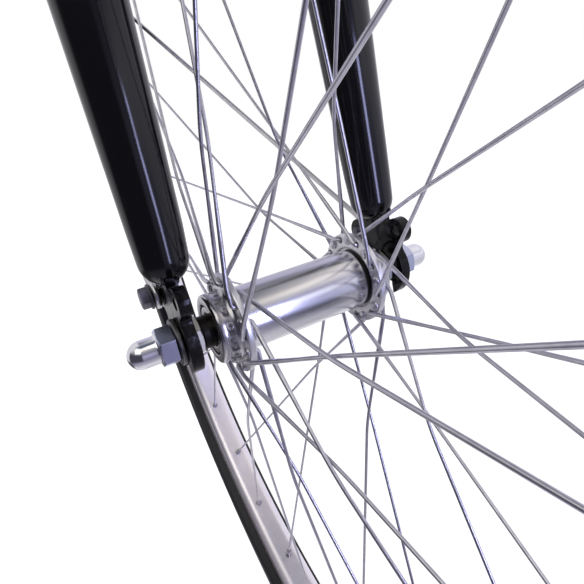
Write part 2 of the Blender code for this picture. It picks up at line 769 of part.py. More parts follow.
def make_rim(shop, parent):
    """A single-walled rim: bed, well, bead seats and side walls, drilled for the spokes."""
    half = RIM_HALF_WIDTH
    inside = half - RIM_WALL
    bed = RIM_INNER_RADIUS + RIM_BED
    well = RIM_WELL_HALF_WIDTH
    shoulder = BEAD_SEAT_RADIUS - SEAT_SLOPE
    profile = [
        (RIM_EDGE_RADIUS, half),
        (RIM_EDGE_RADIUS, inside),
        (BEAD_SEAT_RADIUS, inside),
        (shoulder, well + WELL_SLOPE),
        (bed, well),
        (bed, -well),
        (shoulder, -well - WELL_SLOPE),
        (BEAD_SEAT_RADIUS, -inside),
        (RIM_EDGE_RADIUS, -inside),
        (RIM_EDGE_RADIUS, -half),
        (RIM_INNER_RADIUS + RIM_CHAMFER_RISE, -half),
        (RIM_INNER_RADIUS, -half + RIM_CHAMFER_RUN),
        (RIM_INNER_RADIUS, half - RIM_CHAMFER_RUN),
        (RIM_INNER_RADIUS + RIM_CHAMFER_RISE, half),
    ]
    obj = shop.add("rim", profile_mesh("rim", profile, True), RIM_METAL, parent, 1)
    spin(obj, WHEEL_SEGMENTS)

    def drill(work):
        for side in SIDES.values():
            for number in range(SPOKES_A_SIDE):
                _, _, crossing, seat, _ = spoke_line(side, number)
                turn = (seat - crossing).to_track_quat("Z", "Y").to_matrix().to_4x4()
                bmesh.ops.create_cone(
                    work, cap_ends=True, segments=6, radius1=NIPPLE_HOLE,
                    radius2=NIPPLE_HOLE, depth=4 * RIM_BED,
                    matrix=Matrix.Translation(seat) @ turn)
        place = polar(RIM_INNER_RADIUS, VALVE_ANGLE, 0)
        turn = place.to_track_quat("Z", "Y").to_matrix().to_4x4()
        bmesh.ops.create_cone(
            work, cap_ends=True, segments=12, radius1=VALVE_RADIUS + GAP,
            radius2=VALVE_RADIUS + GAP, depth=4 * RIM_BED,
            matrix=Matrix.Translation(place) @ turn)
    boolean(obj, shop.cutter("rim_drill", mesh_from(drill, "rim_drill"), parent))


def make_tyre(shop, parent):
    """The tyre's open casing with its two beads on the rim's seats."""
    outer = TYRE_SECTION / 2
    inner = outer - TYRE_WALL
    centre = TYRE_RADIUS - outer
    bead_low = BEAD_SEAT_RADIUS + GAP
    bead_out = RIM_HALF_WIDTH - RIM_WALL - GAP
    bead_in = bead_out - TYRE_BEAD
    neck = RIM_EDGE_RADIUS + TYRE_NECK_RISE
    inner_neck = neck + TYRE_NECK_STEP
    outer_end = math.acos(-(centre - neck) / outer) - TYRE_OPENING
    inner_end = outer_end - TYRE_OPENING

    def arc(radius, end, pieces):
        angles = [end - 2 * end * number / pieces for number in range(pieces + 1)]
        return [(centre + radius * math.cos(angle), radius * math.sin(angle))
                for angle in angles]
    profile = [(bead_low, bead_out), (neck, bead_out)]
    profile += arc(outer, outer_end, 6)
    profile += [(neck, -bead_out), (bead_low, -bead_out)]
    profile += [(bead_low, -bead_in), (inner_neck, -bead_in)]
    profile += arc(inner, inner_end, 3)[::-1]
    profile += [(inner_neck, bead_in), (bead_low, bead_in)]
    obj = shop.add("tyre", profile_mesh("tyre", profile, True), RUBBER, parent, 1)
    spin(obj, WHEEL_SEGMENTS)


def make_valve(shop, parent):
    """The inner tube's valve stem, through the rim at the bottom of the wheel."""
    top = RIM_INNER_RADIUS + RIM_BED + VALVE_ROOT
    nut = RIM_INNER_RADIUS * math.cos(math.pi / WHEEL_SEGMENTS) - GAP
    nut_radius = VALVE_RADIUS + VALVE_NUT_STEP
    tip = RIM_INNER_RADIUS - VALVE_LENGTH
    profile = [
        (0, top), (VALVE_RADIUS, top), (VALVE_RADIUS, nut),
        (nut_radius, nut), (nut_radius, nut - VALVE_NUT_THICKNESS),
        (VALVE_RADIUS, nut - VALVE_NUT_THICKNESS), (VALVE_RADIUS, tip + VALVE_CHAMFER),
        (VALVE_RADIUS - VALVE_CHAMFER, tip), (0, tip),
    ]
    obj = shop.add("valve", profile_mesh("valve", profile, False), BRASS, parent)
    obj.rotation_euler = (0, math.pi / 2 - VALVE_ANGLE, 0)
    spin(obj, 16)


def mudguard_drop(across):
    """How far below its crown line the mudguard's outer face lies."""
    return MUDGUARD_DEPTH * (across / MUDGUARD_HALF_WIDTH) ** 2


def make_mudguard(shop, parent):
    """A crowned strip turned about the axle and given its thickness."""
    pieces = 6
    points = []
    for number in range(pieces + 1):
        across = MUDGUARD_HALF_WIDTH * (1 - 2 * number / pieces)
        points.append((MUDGUARD_RADIUS - mudguard_drop(across), across))
    obj = shop.add("mudguard", profile_mesh("mudguard", points, False),
                   BLACK_PLASTIC, parent, 1)
    obj.rotation_euler = (-math.pi / 2, -MUDGUARD_FRONT, 0)
    screw = obj.modifiers.new("turn", "SCREW")
    screw.axis = "Z"
    screw.angle = -(MUDGUARD_REAR - MUDGUARD_FRONT)
    screw.steps = MUDGUARD_STEPS
    screw.render_steps = MUDGUARD_STEPS
    screw.use_normal_flip = True
    shell = obj.modifiers.new("thickness", "SOLIDIFY")
    shell.thickness = MUDGUARD_THICKNESS
    shell.offset = -1


def make_bracket(shop):
    """The bracket from the back of the crown to the top of the mudguard."""
    rear = -max(STEERER_RADIUS, BLADE_RADIUS) - GAP
    top = -CROWN_DROP + BRACKET_HALF_WIDTH
    low = MUDGUARD_RADIUS + GAP
    high = low + BRACKET_THICKNESS
    start = math.acos((rear - AXLE.x) / low)
    end = start + BRACKET_FOOT / low
    outer_start = math.acos((rear - BRACKET_THICKNESS - AXLE.x) / high)

    def on_guard(radius, first):
        steps = 3
        angles = [first + (end - first) * step / steps for step in range(steps + 1)]
        return [(AXLE.x + radius * math.cos(angle), AXLE.z + radius * math.sin(angle))
                for angle in angles]
    inner = on_guard(low, start)
    outer = on_guard(high, outer_start)[::-1]
    outline = [(rear, top)] + [(rear, inner[0][1])] + inner[1:] + outer
    outline += [(rear - BRACKET_THICKNESS, top)]
    axes = Matrix(((1, 0, 0), (0, 0, 1), (0, 1, 0))).transposed().to_4x4()
    shop.add("mudguard_bracket", plate_mesh(
        "mudguard_bracket", outline, 2 * BRACKET_HALF_WIDTH, axes), ZINC)


def make_stay(shop):
    """The wire stay: an eye on each rear eyelet and a run over the mudguard."""
    place = eyelet_place(REAR_EYELET_REACH, REAR_EYELET_TURN)
    eye_across = DROPOUT_OUTER + GAP + STAY_RADIUS
    clear = STAY_RADIUS + STAY_CLEARANCE
    crossing = []
    steps = 8
    for number in range(steps + 1):
        across = (MUDGUARD_HALF_WIDTH + clear) * (1 - 2 * number / steps)
        inside = max(-MUDGUARD_HALF_WIDTH, min(MUDGUARD_HALF_WIDTH, across))
        radius = MUDGUARD_RADIUS - mudguard_drop(inside) + clear
        crossing.append(AXLE + polar(radius, STAY_ANGLE, across))
    below = MUDGUARD_RADIUS - MUDGUARD_DEPTH - STAY_CORNER_DROP
    ends = {}
    for side in SIDES.values():
        corner = AXLE + polar(below, STAY_ANGLE, side * (MUDGUARD_HALF_WIDTH + clear))
        eye = place + LEFT * (side * eye_across)
        outward = corner - eye
        outward.y = 0
        outward.normalize()
        ends[side] = [eye + outward * STAY_EYE_RADIUS, eye + outward * STAY_STRAIGHT, corner]
    points = ends[1] + crossing + ends[-1][::-1]
    mesh = curve_mesh("mudguard_stay", points, [STAY_RADIUS] * len(points), 6)
    obj = shop.add("mudguard_stay", mesh, ZINC)
    for hand, side in SIDES.items():
        ring = [(STAY_EYE_RADIUS + STAY_RADIUS * math.cos(angle),
                 STAY_RADIUS * math.sin(angle))
                for angle in (-math.pi / 3 * number for number in range(6))]
        eye = shop.cutter("stay_eye_" + hand, profile_mesh("stay_eye", ring, True), None, 1)
        eye.location = place + LEFT * (side * eye_across)
        spin(eye, 12)
        boolean(obj, eye, "UNION")


def main():
    clear_scene()
    shop = Workshop()
    axle_line = shop.empty("axle_line", AXLE)
    wheel_axis = shop.empty("wheel_axis", AXLE)
    make_steerer(shop)
    make_crown_race(shop)
    for hand, side in SIDES.items():
        make_leg(shop, hand, side)
        make_cone(shop, hand, side, axle_line)
        make_locknut(shop, hand, side, axle_line)
        make_washer(shop, hand, side, axle_line)
        make_cap_nut(shop, hand, side, axle_line)
        make_eyelet_bolt(shop, hand, side)
        make_flange(shop, hand, side, wheel_axis)
        for number in range(SPOKES_A_SIDE):
            make_spoke(shop, hand, side, number, wheel_axis)
    make_axle(shop, axle_line)
    make_barrel(shop, wheel_axis)
    make_rim(shop, wheel_axis)
    make_tyre(shop, wheel_axis)
    make_valve(shop, wheel_axis)
    make_mudguard(shop, axle_line)
    make_bracket(shop)
    make_stay(shop)


main()
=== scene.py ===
"""Looks of a city bicycle's front fork with its wire wheel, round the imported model.

Metres, in the model's own frame: +Z up the steering axis, +X forward, +Y to the rider's
left. Pieces that turn with the wheel ride on "wheel", the others on "fork".
"""

import json
import random
from math import acos, asin, atan2, cos, hypot, pi, radians, sin, sqrt, tau

import bmesh
import bpy
from mathutils import Matrix, Vector


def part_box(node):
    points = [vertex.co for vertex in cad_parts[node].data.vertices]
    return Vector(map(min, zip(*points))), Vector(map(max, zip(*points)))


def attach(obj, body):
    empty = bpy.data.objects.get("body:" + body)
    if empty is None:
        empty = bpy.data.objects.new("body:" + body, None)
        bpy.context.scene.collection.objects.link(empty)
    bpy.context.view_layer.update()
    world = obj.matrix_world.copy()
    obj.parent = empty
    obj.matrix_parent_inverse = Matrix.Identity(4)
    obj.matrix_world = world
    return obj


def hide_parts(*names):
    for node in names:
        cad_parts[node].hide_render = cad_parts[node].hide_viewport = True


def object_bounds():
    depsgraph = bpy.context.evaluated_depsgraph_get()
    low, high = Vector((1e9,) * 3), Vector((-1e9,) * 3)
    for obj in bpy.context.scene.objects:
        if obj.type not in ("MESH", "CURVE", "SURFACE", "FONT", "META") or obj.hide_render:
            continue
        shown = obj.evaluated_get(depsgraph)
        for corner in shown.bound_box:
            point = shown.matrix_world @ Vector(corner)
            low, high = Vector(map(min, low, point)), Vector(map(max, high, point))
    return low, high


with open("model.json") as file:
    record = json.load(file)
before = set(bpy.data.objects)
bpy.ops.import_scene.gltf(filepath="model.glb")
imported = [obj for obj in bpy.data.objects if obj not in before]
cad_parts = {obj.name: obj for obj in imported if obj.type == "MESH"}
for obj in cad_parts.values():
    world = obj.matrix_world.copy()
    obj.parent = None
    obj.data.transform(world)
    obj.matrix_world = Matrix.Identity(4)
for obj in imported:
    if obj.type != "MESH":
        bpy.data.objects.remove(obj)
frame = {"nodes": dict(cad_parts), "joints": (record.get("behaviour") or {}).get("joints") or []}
cad_low, cad_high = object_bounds()

MM = 0.001
AXLE = Vector(frame["joints"][0]["pos_m"])
LEFT = Vector((0, 1, 0))
SIDES = {"left": 1, "right": -1}
SEED = 11
NUDGE = 0.001 * MM
CORNER_SHARE = 0.45  # how much of an edge a fillet may take
EDGE_ANGLE = 35
FLAT_LIMIT = cos(radians(50))

# Hub, read from the frame
BARREL_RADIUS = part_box("hub_barrel")[1].z - AXLE.z
BARREL_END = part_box("hub_barrel")[1].y
FLANGE_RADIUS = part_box("hub_flange_left")[1].z - AXLE.z
CUP_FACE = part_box("hub_flange_left")[1].y
FLANGE_INNER = BARREL_END + 0.3 * MM
FLANGE_OUTER = FLANGE_INNER + 3.0 * MM
CUP_RADIUS = BARREL_RADIUS + 1.2 * MM
SPOKE_CIRCLE = 19.0 * MM
CONE_RADIUS = 7.0 * MM

# Spokes: number, phase and turn as in the model, and where each pair crosses
SPOKES_A_SIDE = 18
SPOKE_RADIUS = 1.0 * MM
MIDDLE_RADIUS = 0.75 * MM  # thinner than the solid, to match the photo
WIRE_SIDES = 12
SPOKE_PHASE = {1: radians(8.6), -1: radians(-1.4)}
SPOKE_TURN = {1: -1, -1: 1}
LACING = radians(60)
SPOKE_LIFT = 1.3 * MM
EDGE_SHARE = 0.026
CROSSING_SHARE = 0.2177
CROSSING_GAP = 0.9 * MM
CROSSING_ACROSS = {1: 23.3 * MM, -1: 26.8 * MM}
ELBOW = 1.8 * MM
NIPPLE_LENGTH = 10.0 * MM
NIPPLE_OFFSET = 1.0 * MM

# Rim and tyre
RIM_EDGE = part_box("rim")[1].z - AXLE.z
RIM_HALF_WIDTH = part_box("rim")[1].y
RIM_INNER = RIM_EDGE - 18.5 * MM
BEAD_SEAT = RIM_EDGE - 5.8 * MM
TYRE_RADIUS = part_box("tyre")[1].x - AXLE.x
TYRE_HALF_SECTION = 20.5 * MM
TYRE_HALF_WIDTH = 19.3 * MM  # narrower than the solid, to match the photo
TYRE_WALL = 3.2 * MM
TREAD_DEPTH = 1.5 * MM
TREAD_END = radians(56)
LINE_HEIGHT = 0.25 * MM

# Fork legs, measured along the blade from its foot
LEAN = radians(5.1)
UP = Vector((-sin(LEAN), 0, cos(LEAN)))
AHEAD = Vector((cos(LEAN), 0, sin(LEAN)))
FOOT = AXLE - AHEAD * 3.0 * MM
LEG_RUN = 385 * MM
BLADE_RADIUS = 14.3 * MM
BLADE_END_RADIUS = 10.2 * MM
BLADE_END = 23.3 * MM
TAPER_TOP = 171.3 * MM
BLADE_SIDES = 64
NECK_HALF_WIDTH = 7.6 * MM
NECK_TOP = 40.3 * MM
SPREAD_AT_END = 51.6 * MM
SPREAD_AT_CROWN = 47.5 * MM
STEERER_RADIUS = 14.3 * MM
CROWN_BEND = SPREAD_AT_CROWN - STEERER_RADIUS
CROWN_HEIGHT = -20 * MM

# Dropouts and what clamps them
DROPOUT_INNER = 50 * MM
DROPOUT_OUTER = 55 * MM
DROPOUT_LOBE = 14.1 * MM
AXLE_RADIUS = 4.75 * MM
EYELET_LOBE = 6.0 * MM
EYELET_HOLE = 2.6 * MM
FRONT_EYELET = (22.4 * MM, radians(-34.5))
REAR_EYELET = (23.8 * MM, radians(42))
LOBE_FILLET = 3 * MM
NECK_FILLET = 2 * MM
NUT_FLATS = 15 * MM
NUT_BORE = 5.05 * MM
CONE_ENDS = (34 * MM, 46.5 * MM)
LOCKNUT_ENDS = (46.9 * MM, 49.7 * MM)
WASHER_INNER = 55.3 * MM
WASHER_RADIUS = 9.8 * MM
CAP_NUT_INNER = 57.6 * MM
CAP_RADIUS = 5.9 * MM
BOLT_FLATS = 8 * MM
BOLT_RADIUS = 2.3 * MM

# Mudguard and stay
MUDGUARD_RADIUS = 362 * MM
MUDGUARD_HALF_WIDTH = 27 * MM
MUDGUARD_DEPTH = 12 * MM
MUDGUARD_FRONT = radians(50)
MUDGUARD_REAR = radians(166)
STAY_RADIUS = 1.5 * MM
STAY_EYE = 4.6 * MM
STAY_ANGLE = radians(148)
STAY_SEAT = DROPOUT_OUTER + 0.3 * MM

# Camera, solved from the circles of the hub, the rim and the tyre
CAMERA_PLACE = AXLE + Vector((168.9, -82.1, 74.9)) * MM
CAMERA_RIGHT = Vector((0.4794, 0.8620, -0.1651))
CAMERA_DOWN = Vector((0.2407, -0.3100, -0.9198))
CAMERA_LENS = 27.47
SENSOR = 36.0


# Node helpers

def fill(tree, node, sockets):
    """Sets each input, or links it where the value is another node's output."""
    for key, value in sockets.items():
        socket = node.inputs[key]
        if isinstance(value, bpy.types.NodeSocket):
            tree.links.new(value, socket)
        elif isinstance(value, tuple) and socket.type == "RGBA":
            socket.default_value = (*value, 1)
        else:
            socket.default_value = value


def add_node(tree, kind, sockets=None, **values):
    node = tree.nodes.new(kind)
    for key, value in values.items():
        setattr(node, key, value)
    fill(tree, node, sockets or {})
    return node


def new_material(name):
    made = bpy.data.materials.new(name)
    made.use_nodes = True
    return made, made.node_tree, made.node_tree.nodes["Principled BSDF"]


def coordinates(tree, scale=(1, 1, 1)):
    """Object coordinates in metres, stretched by scale."""
    place = add_node(tree, "ShaderNodeTexCoord").outputs["Object"]
    stretch = add_node(tree, "ShaderNodeMapping", {"Vector": place, "Scale": scale})
    return stretch.outputs["Vector"]


def noise_value(tree, vector, scale, detail=3.0, rough=0.5):
    return add_node(tree, "ShaderNodeTexNoise", {
        "Vector": vector, "Scale": scale, "Detail": detail, "Roughness": rough}).outputs["Fac"]


def ramp(tree, value, low, high, start=0.3, end=0.7):
    """Colours or greys spread over a value."""
    node = add_node(tree, "ShaderNodeValToRGB", {"Fac": value})
    for index, (place, colour) in enumerate(((start, low), (end, high))):
        node.color_ramp.elements[index].position = place
        node.color_ramp.elements[index].color = (*colour, 1)
    return node.outputs["Color"]


def bands(tree, height, stops):
    """Greys and tints over the sine of the height, from straight down to straight up."""
    unit = add_node(tree, "ShaderNodeMapRange", {"Value": height, "From Min": -1})
    node = add_node(tree, "ShaderNodeValToRGB", {"Fac": unit.outputs["Result"]})
    node.color_ramp.interpolation = "EASE"
    elements = node.color_ramp.elements
    while len(elements) < len(stops):
        elements.new(0.5)
    for element, (at, colour) in zip(elements, stops):
        element.position = (at + 1) / 2
        element.color = (*colour, 1)
    return node.outputs["Color"]


def spread(tree, value, low, high):
    """Maps a 0..1 value to a range."""
    return add_node(tree, "ShaderNodeMapRange", {
        "Value": value, "To Min": low, "To Max": high}).outputs["Result"]


def smooth_step(tree, value, low, high):
    """Rises from 0 to 1 between two values, or falls where low is the larger."""
    return add_node(tree, "ShaderNodeMapRange", {
        "Value": value, "From Min": low, "From Max": high},
        interpolation_type="SMOOTHSTEP").outputs["Result"]


def mixed(tree, share, first, second):
    """A blend of two colours, each a socket or a plain colour."""
    return add_node(tree, "ShaderNodeMix", {"Factor": share, 6: first, 7: second},
                    data_type="RGBA").outputs[2]


def arithmetic(tree, operation, *terms):
    """A sum, product or size of sockets and plain numbers."""
    return add_node(tree, "ShaderNodeMath", dict(enumerate(terms)),
                    operation=operation).outputs[0]


def bump(tree, height, strength, distance):
    return add_node(tree, "ShaderNodeBump", {
        "Height": height, "Strength": strength, "Distance": distance}).outputs["Normal"]


# Finishes

def metal(name, dark, light, rough, grain, strength=0.2, stretch=(1, 1, 1)):
    """Bare or plated metal whose tint and polish vary a little over the piece."""
    made, tree, shader = new_material(name)
    vector = coordinates(tree, stretch)
    broad = noise_value(tree, vector, grain / 6, 4.0)
    fine = noise_value(tree, vector, grain, 6.0, 0.6)
    fill(tree, shader, {"Base Color": ramp(tree, broad, dark, light),
                        "Roughness": spread(tree, fine, *rough), "Metallic": 1.0})
    if strength:
        fill(tree, shader, {"Normal": bump(tree, fine, strength, 0.02 * MM)})
    return made


def gloss_paint(name, colour, orange_peel, strength, shine=0.42):
    """Thick gloss enamel: faint orange peel and dust."""
    made, tree, shader = new_material(name)
    vector = coordinates(tree)
    peel = noise_value(tree, vector, orange_peel, 2.0, 0.4)
    dust = noise_value(tree, vector, 900, 2.0)
    dusty = tuple(c * 1.8 + 0.004 for c in colour)
    fill(tree, shader, {
        "Base Color": ramp(tree, dust, colour, dusty, 0.68, 0.8),
        "Roughness": spread(tree, dust, 0.10, 0.15),
        "Specular IOR Level": shine,
        "Normal": bump(tree, peel, strength, 0.4 * MM)})
    return made


def rubber(name, colour, rough):
    made, tree, shader = new_material(name)
    vector = coordinates(tree)
    fine = noise_value(tree, vector, 1800, 5.0, 0.7)
    broad = noise_value(tree, vector, 60)
    fill(tree, shader, {
        "Base Color": ramp(tree, broad, colour, tuple(c * 1.7 for c in colour)),
        "Roughness": spread(tree, fine, rough - 0.08, rough + 0.1),
        "Specular IOR Level": 0.34,
        "Normal": bump(tree, fine, 0.25, 0.1 * MM)})
    return made


def pressed_steel():
    """The flange's steel: polished round the cup, matt on the drilled rim."""
    made = metal("pressed_steel", (0.42, 0.41, 0.44), (0.58, 0.57, 0.60), (0.13, 0.22), 700,
                 0.05)
    tree = made.node_tree
    shader = tree.nodes["Principled BSDF"]
    polish = shader.inputs["Roughness"].links[0].from_socket
    tint = shader.inputs["Base Color"].links[0].from_socket

    def vector_math(operation, *terms):
        return add_node(tree, "ShaderNodeVectorMath", dict(enumerate(terms)),
                        operation=operation).outputs
    place = add_node(tree, "ShaderNodeTexCoord").outputs["Object"]
    beside = vector_math("SUBTRACT", place, AXLE)["Vector"]
    flat = vector_math("MULTIPLY", beside, (1, 0, 1))["Vector"]
    reach = vector_math("LENGTH", flat)["Value"]
    matt = smooth_step(tree, reach, CUP_RADIUS + 0.2 * MM, CUP_RADIUS + 1.2 * MM)
    rough = arithmetic(tree, "ADD", polish, arithmetic(tree, "MULTIPLY", matt, 0.24))
    fill(tree, shader, {"Base Color": mixed(tree, matt, tint, (0.82, 0.81, 0.84)),
                        "Roughness": rough})
    return made


# One material for each finish, with the record's slot it belongs to
FINISHES = {
    "paint": (gloss_paint("fork_enamel", (0.004, 0.004, 0.005), 90, 0.05), "black_paint"),
    "plate_paint": (gloss_paint("plate_enamel", (0.003, 0.003, 0.004), 260, 0.30, 0.24),
                    "black_paint"),
    "weld_paint": (gloss_paint("weld_enamel", (0.003, 0.003, 0.004), 300, 0.3, 0.3),
                   "black_paint"),
    "barrel": (metal("turned_aluminium", (0.76, 0.75, 0.80), (0.86, 0.86, 0.89),
                     (0.18, 0.26), 1400, stretch=(1, 0.06, 1)), "polished_aluminium"),
    "flange": (pressed_steel(), "bright_steel"),
    "spoke": (metal("drawn_stainless", (0.52, 0.51, 0.57), (0.66, 0.65, 0.71),
                    (0.27, 0.33), 1500, 0), "stainless_wire"),
    "nipple": (metal("nickelled_brass", (0.30, 0.29, 0.31), (0.44, 0.43, 0.45),
                     (0.2, 0.34), 900), "stainless_wire"),
    "chrome": (metal("chrome", (0.80, 0.79, 0.84), (0.90, 0.89, 0.93), (0.05, 0.11), 500,
                     0.06), "chrome_plate"),
    "zinc": (metal("zinc", (0.58, 0.57, 0.60), (0.76, 0.75, 0.74), (0.24, 0.42), 650, 0.3),
             "zinc_plate"),
    "blue_zinc": (metal("blue_zinc", (0.54, 0.57, 0.74), (0.68, 0.71, 0.88), (0.16, 0.30),
                        900, 0.25), "chrome_plate"),
    "dull_zinc": (metal("dull_zinc", (0.09, 0.09, 0.09), (0.19, 0.19, 0.19), (0.3, 0.5),
                        1100, 0.5), "zinc_plate"),
    "yellow_zinc": (metal("passivated_zinc", (0.90, 0.88, 0.75), (0.97, 0.96, 0.89),
                          (0.42, 0.55), 500, 0.3), "zinc_plate"),
    "dark_steel": (metal("phosphated_steel", (0.10, 0.10, 0.12), (0.24, 0.23, 0.26),
                         (0.32, 0.5), 800, 0.4), "dark_steel"),
    "black_steel": (metal("black_oxide", (0.012, 0.011, 0.011), (0.035, 0.032, 0.030),
                          (0.3, 0.5), 800), "black_oxide_steel"),
    "rim": (metal("satin_anodised", (0.92, 0.87, 0.94), (0.98, 0.93, 0.97), (0.30, 0.42),
                  900), "anodised_aluminium"),
    "tyre": (rubber("tyre_rubber_black", (0.005, 0.005, 0.008), 0.36), "tyre_rubber"),
    # Black rubber for the dust seals; also used as painted shade in the joint between barrel and
    # flange.
    "seal": (rubber("seal_and_joint_shade_rubber", (0.008, 0.008, 0.008), 0.5), "tyre_rubber"),
    "brass": (metal("nickel_stem", (0.58, 0.53, 0.42), (0.74, 0.70, 0.60), (0.2, 0.36),
                    800), "valve_brass"),
    "plastic": (gloss_paint("mudguard_black", (0.010, 0.010, 0.012), 260, 0.10),
                "mudguard_plastic"),
}


# Mesh helpers

def full_turn(count):
    return [tau * number / count for number in range(count)]


def evenly(start, end, steps):
    """Evenly spaced values, both ends included."""
    return [start + (end - start) * number / steps for number in range(steps + 1)]


def ring_frame(side, place=AXLE):
    """Local Z outboard on a side, at a place on or beside the axle."""
    return Matrix.Translation(place) @ Matrix.Rotation(-side * pi / 2, 4, "X")


def aimed(place, along):
    """Local Z along a direction, at a place."""
    return Matrix.Translation(place) @ along.to_track_quat("Z", "Y").to_matrix().to_4x4()


def polar(radius, angle, across):
    return AXLE + Vector((radius * cos(angle), across, radius * sin(angle)))


def rounded(before, here, after, reach, steps):
    """The points of a small curve that cuts off a corner."""
    back, on = before - here, after - here
    start = here + back.normalized() * min(reach, back.length * CORNER_SHARE)
    end = here + on.normalized() * min(reach, on.length * CORNER_SHARE)
    return [start * (1 - t) ** 2 + here * (2 * t * (1 - t)) + end * t ** 2
            for t in evenly(0, 1, steps)]


def filleted(corners, closed=True):
    """An outline of (x, y, fillet) corners, each rounded by a small curve."""
    spots = [Vector(corner[:2]) for corner in corners]
    ends = () if closed else (0, len(corners) - 1)
    points = []
    for index, (x, y, fillet) in enumerate(corners):
        if fillet <= 0 or index in ends:
            points.append((x, y))
            continue
        after = spots[(index + 1) % len(spots)]
        curve = rounded(spots[index - 1], spots[index], after, fillet, 4)
        points += [tuple(spot) for spot in curve]
    return points


def band(bore, outer, low, high, fillets=(0, 0, 0, 0)):
    """A ring's section; the fillets, in mm, go from the low bore round to the high bore."""
    corners = ((bore, low), (outer, low), (outer, high), (bore, high))
    return filleted([(*corner, fillet * MM) for corner, fillet in zip(corners, fillets)])


def smooth_path(points, reach, steps):
    """A path whose inner corners are rounded over the reach."""
    path = [points[0]]
    for before, here, after in zip(points, points[1:], points[2:]):
        path += rounded(before, here, after, reach, steps)
    return path + [points[-1]]


def raw_mesh(work):
    mesh = bpy.data.meshes.new("mesh")
    work.to_mesh(mesh)
    work.free()
    return mesh


def to_mesh(work, matrix=None):
    """A mesh without doubles, its faces turned outwards."""
    bmesh.ops.remove_doubles(work, verts=work.verts, dist=0.0005 * MM)
    bmesh.ops.recalc_face_normals(work, faces=work.faces)
    if matrix:
        bmesh.ops.transform(work, matrix=matrix, verts=work.verts)
    return raw_mesh(work)


def join_rings(work, rings, closed_loop=False, caps=False):
    """Quads between rings of points; a ring of one point makes a fan."""
    pairs = list(zip(rings, rings[1:]))
    if closed_loop:
        pairs.append((rings[-1], rings[0]))
    for low, high in pairs:
        count = max(len(low), len(high))
        for i in range(count):
            j = (i + 1) % count
            corners = [low[i % len(low)], low[j % len(low)],
                       high[j % len(high)], high[i % len(high)]]
            corners = list(dict.fromkeys(corners))
            if len(corners) > 2:
                work.faces.new(corners)
    if caps:
        work.faces.new(rings[0][::-1])
        work.faces.new(rings[-1])


def lathe(profile, segments, matrix, closed=True):
    """A profile of (radius, height) pairs turned about local Z."""
    work = bmesh.new()
    rings = []
    for radius, height in profile:
        rings.append([work.verts.new((radius * cos(turn), radius * sin(turn), height))
                      for turn in full_turn(segments if radius > 0.0001 * MM else 1)])
    join_rings(work, rings, closed_loop=closed)
    return to_mesh(work, matrix)


def turned_into(work, profile, matrix):
    """Adds a small turned form."""
    made = lathe(profile, 20, matrix, closed=False)
    work.from_mesh(made)
    bpy.data.meshes.remove(made)


def prism_into(work, outline, low, high):
    rings = [[work.verts.new((x, y, z)) for x, y in outline] for z in (low, high)]
    join_rings(work, rings, caps=True)


def frames_along(points):
    """A steady pair of cross directions at each point of a path."""
    tangents = []
    for index in range(len(points)):
        ahead = points[min(index + 1, len(points) - 1)]
        behind = points[max(index - 1, 0)]
        tangents.append((ahead - behind).normalized())
    first = tangents[0].orthogonal().normalized()
    frames = []
    for tangent in tangents:
        first = (first - tangent * first.dot(tangent)).normalized()
        frames.append((first, tangent.cross(first)))
    return frames


def sweep_into(work, points, radii):
    """Adds a wire with capped ends along a path."""
    rings = []
    for point, radius, (one, two) in zip(points, radii, frames_along(points)):
        rings.append([work.verts.new(point + (one * cos(turn) + two * sin(turn)) * radius)
                      for turn in full_turn(WIRE_SIDES)])
    join_rings(work, rings, caps=True)


def link_object(name, data):
    obj = bpy.data.objects.new(name, data)
    bpy.context.scene.collection.objects.link(obj)
    return obj


def piece(name, mesh, finish, body, replaces=(), sharp=EDGE_ANGLE):
    """Puts a mesh in the scene with its finish, its body and the nodes it stands for."""
    mesh.name = name
    obj = link_object(name, mesh)
    made, slot = FINISHES[finish]
    mesh.materials.append(made)
    mesh.shade_smooth()
    mesh.set_sharp_from_angle(angle=radians(sharp))
    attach(obj, body)
    if replaces:
        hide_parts(*replaces)


def flat_piece(name, mesh, finish, replaces=()):
    """A piece of the fork whose flats stay flat beside their rounded edges.

    Each corner takes the normals of the faces round it that are near its own, by area.
    """
    piece(name, mesh, finish, "fork", replaces, 180)
    around = [[] for _ in mesh.vertices]
    for face in mesh.polygons:
        for index in face.vertices:
            around[index].append(face)
    normals = []
    for face in mesh.polygons:
        for index in face.vertices:
            near = [other for other in around[index]
                    if other.normal.dot(face.normal) > FLAT_LIMIT]
            normals.append(sum((other.normal * other.area for other in near), Vector())
                           .normalized())
    mesh.normals_split_custom_set(normals)


def modified(mesh, kind, **values):
    """The mesh with one modifier applied."""
    body = link_object("stock", mesh)
    modifier = body.modifiers.new("change", kind)
    for key, value in values.items():
        setattr(modifier, key, value)
    depsgraph = bpy.context.evaluated_depsgraph_get()
    made = bpy.data.meshes.new_from_object(body.evaluated_get(depsgraph))
    bpy.data.objects.remove(body)
    return made


def boolean(mesh, tool_mesh, operation="DIFFERENCE"):
    tool = link_object("tool", tool_mesh)
    made = modified(mesh, "BOOLEAN", operation=operation, solver="EXACT", object=tool)
    bpy.data.objects.remove(tool)
    return made


def bevelled(mesh, width, segments=2, angle=30):
    return modified(mesh, "BEVEL", width=width, segments=segments, limit_method="ANGLE",
                    angle_limit=radians(angle), harden_normals=False)


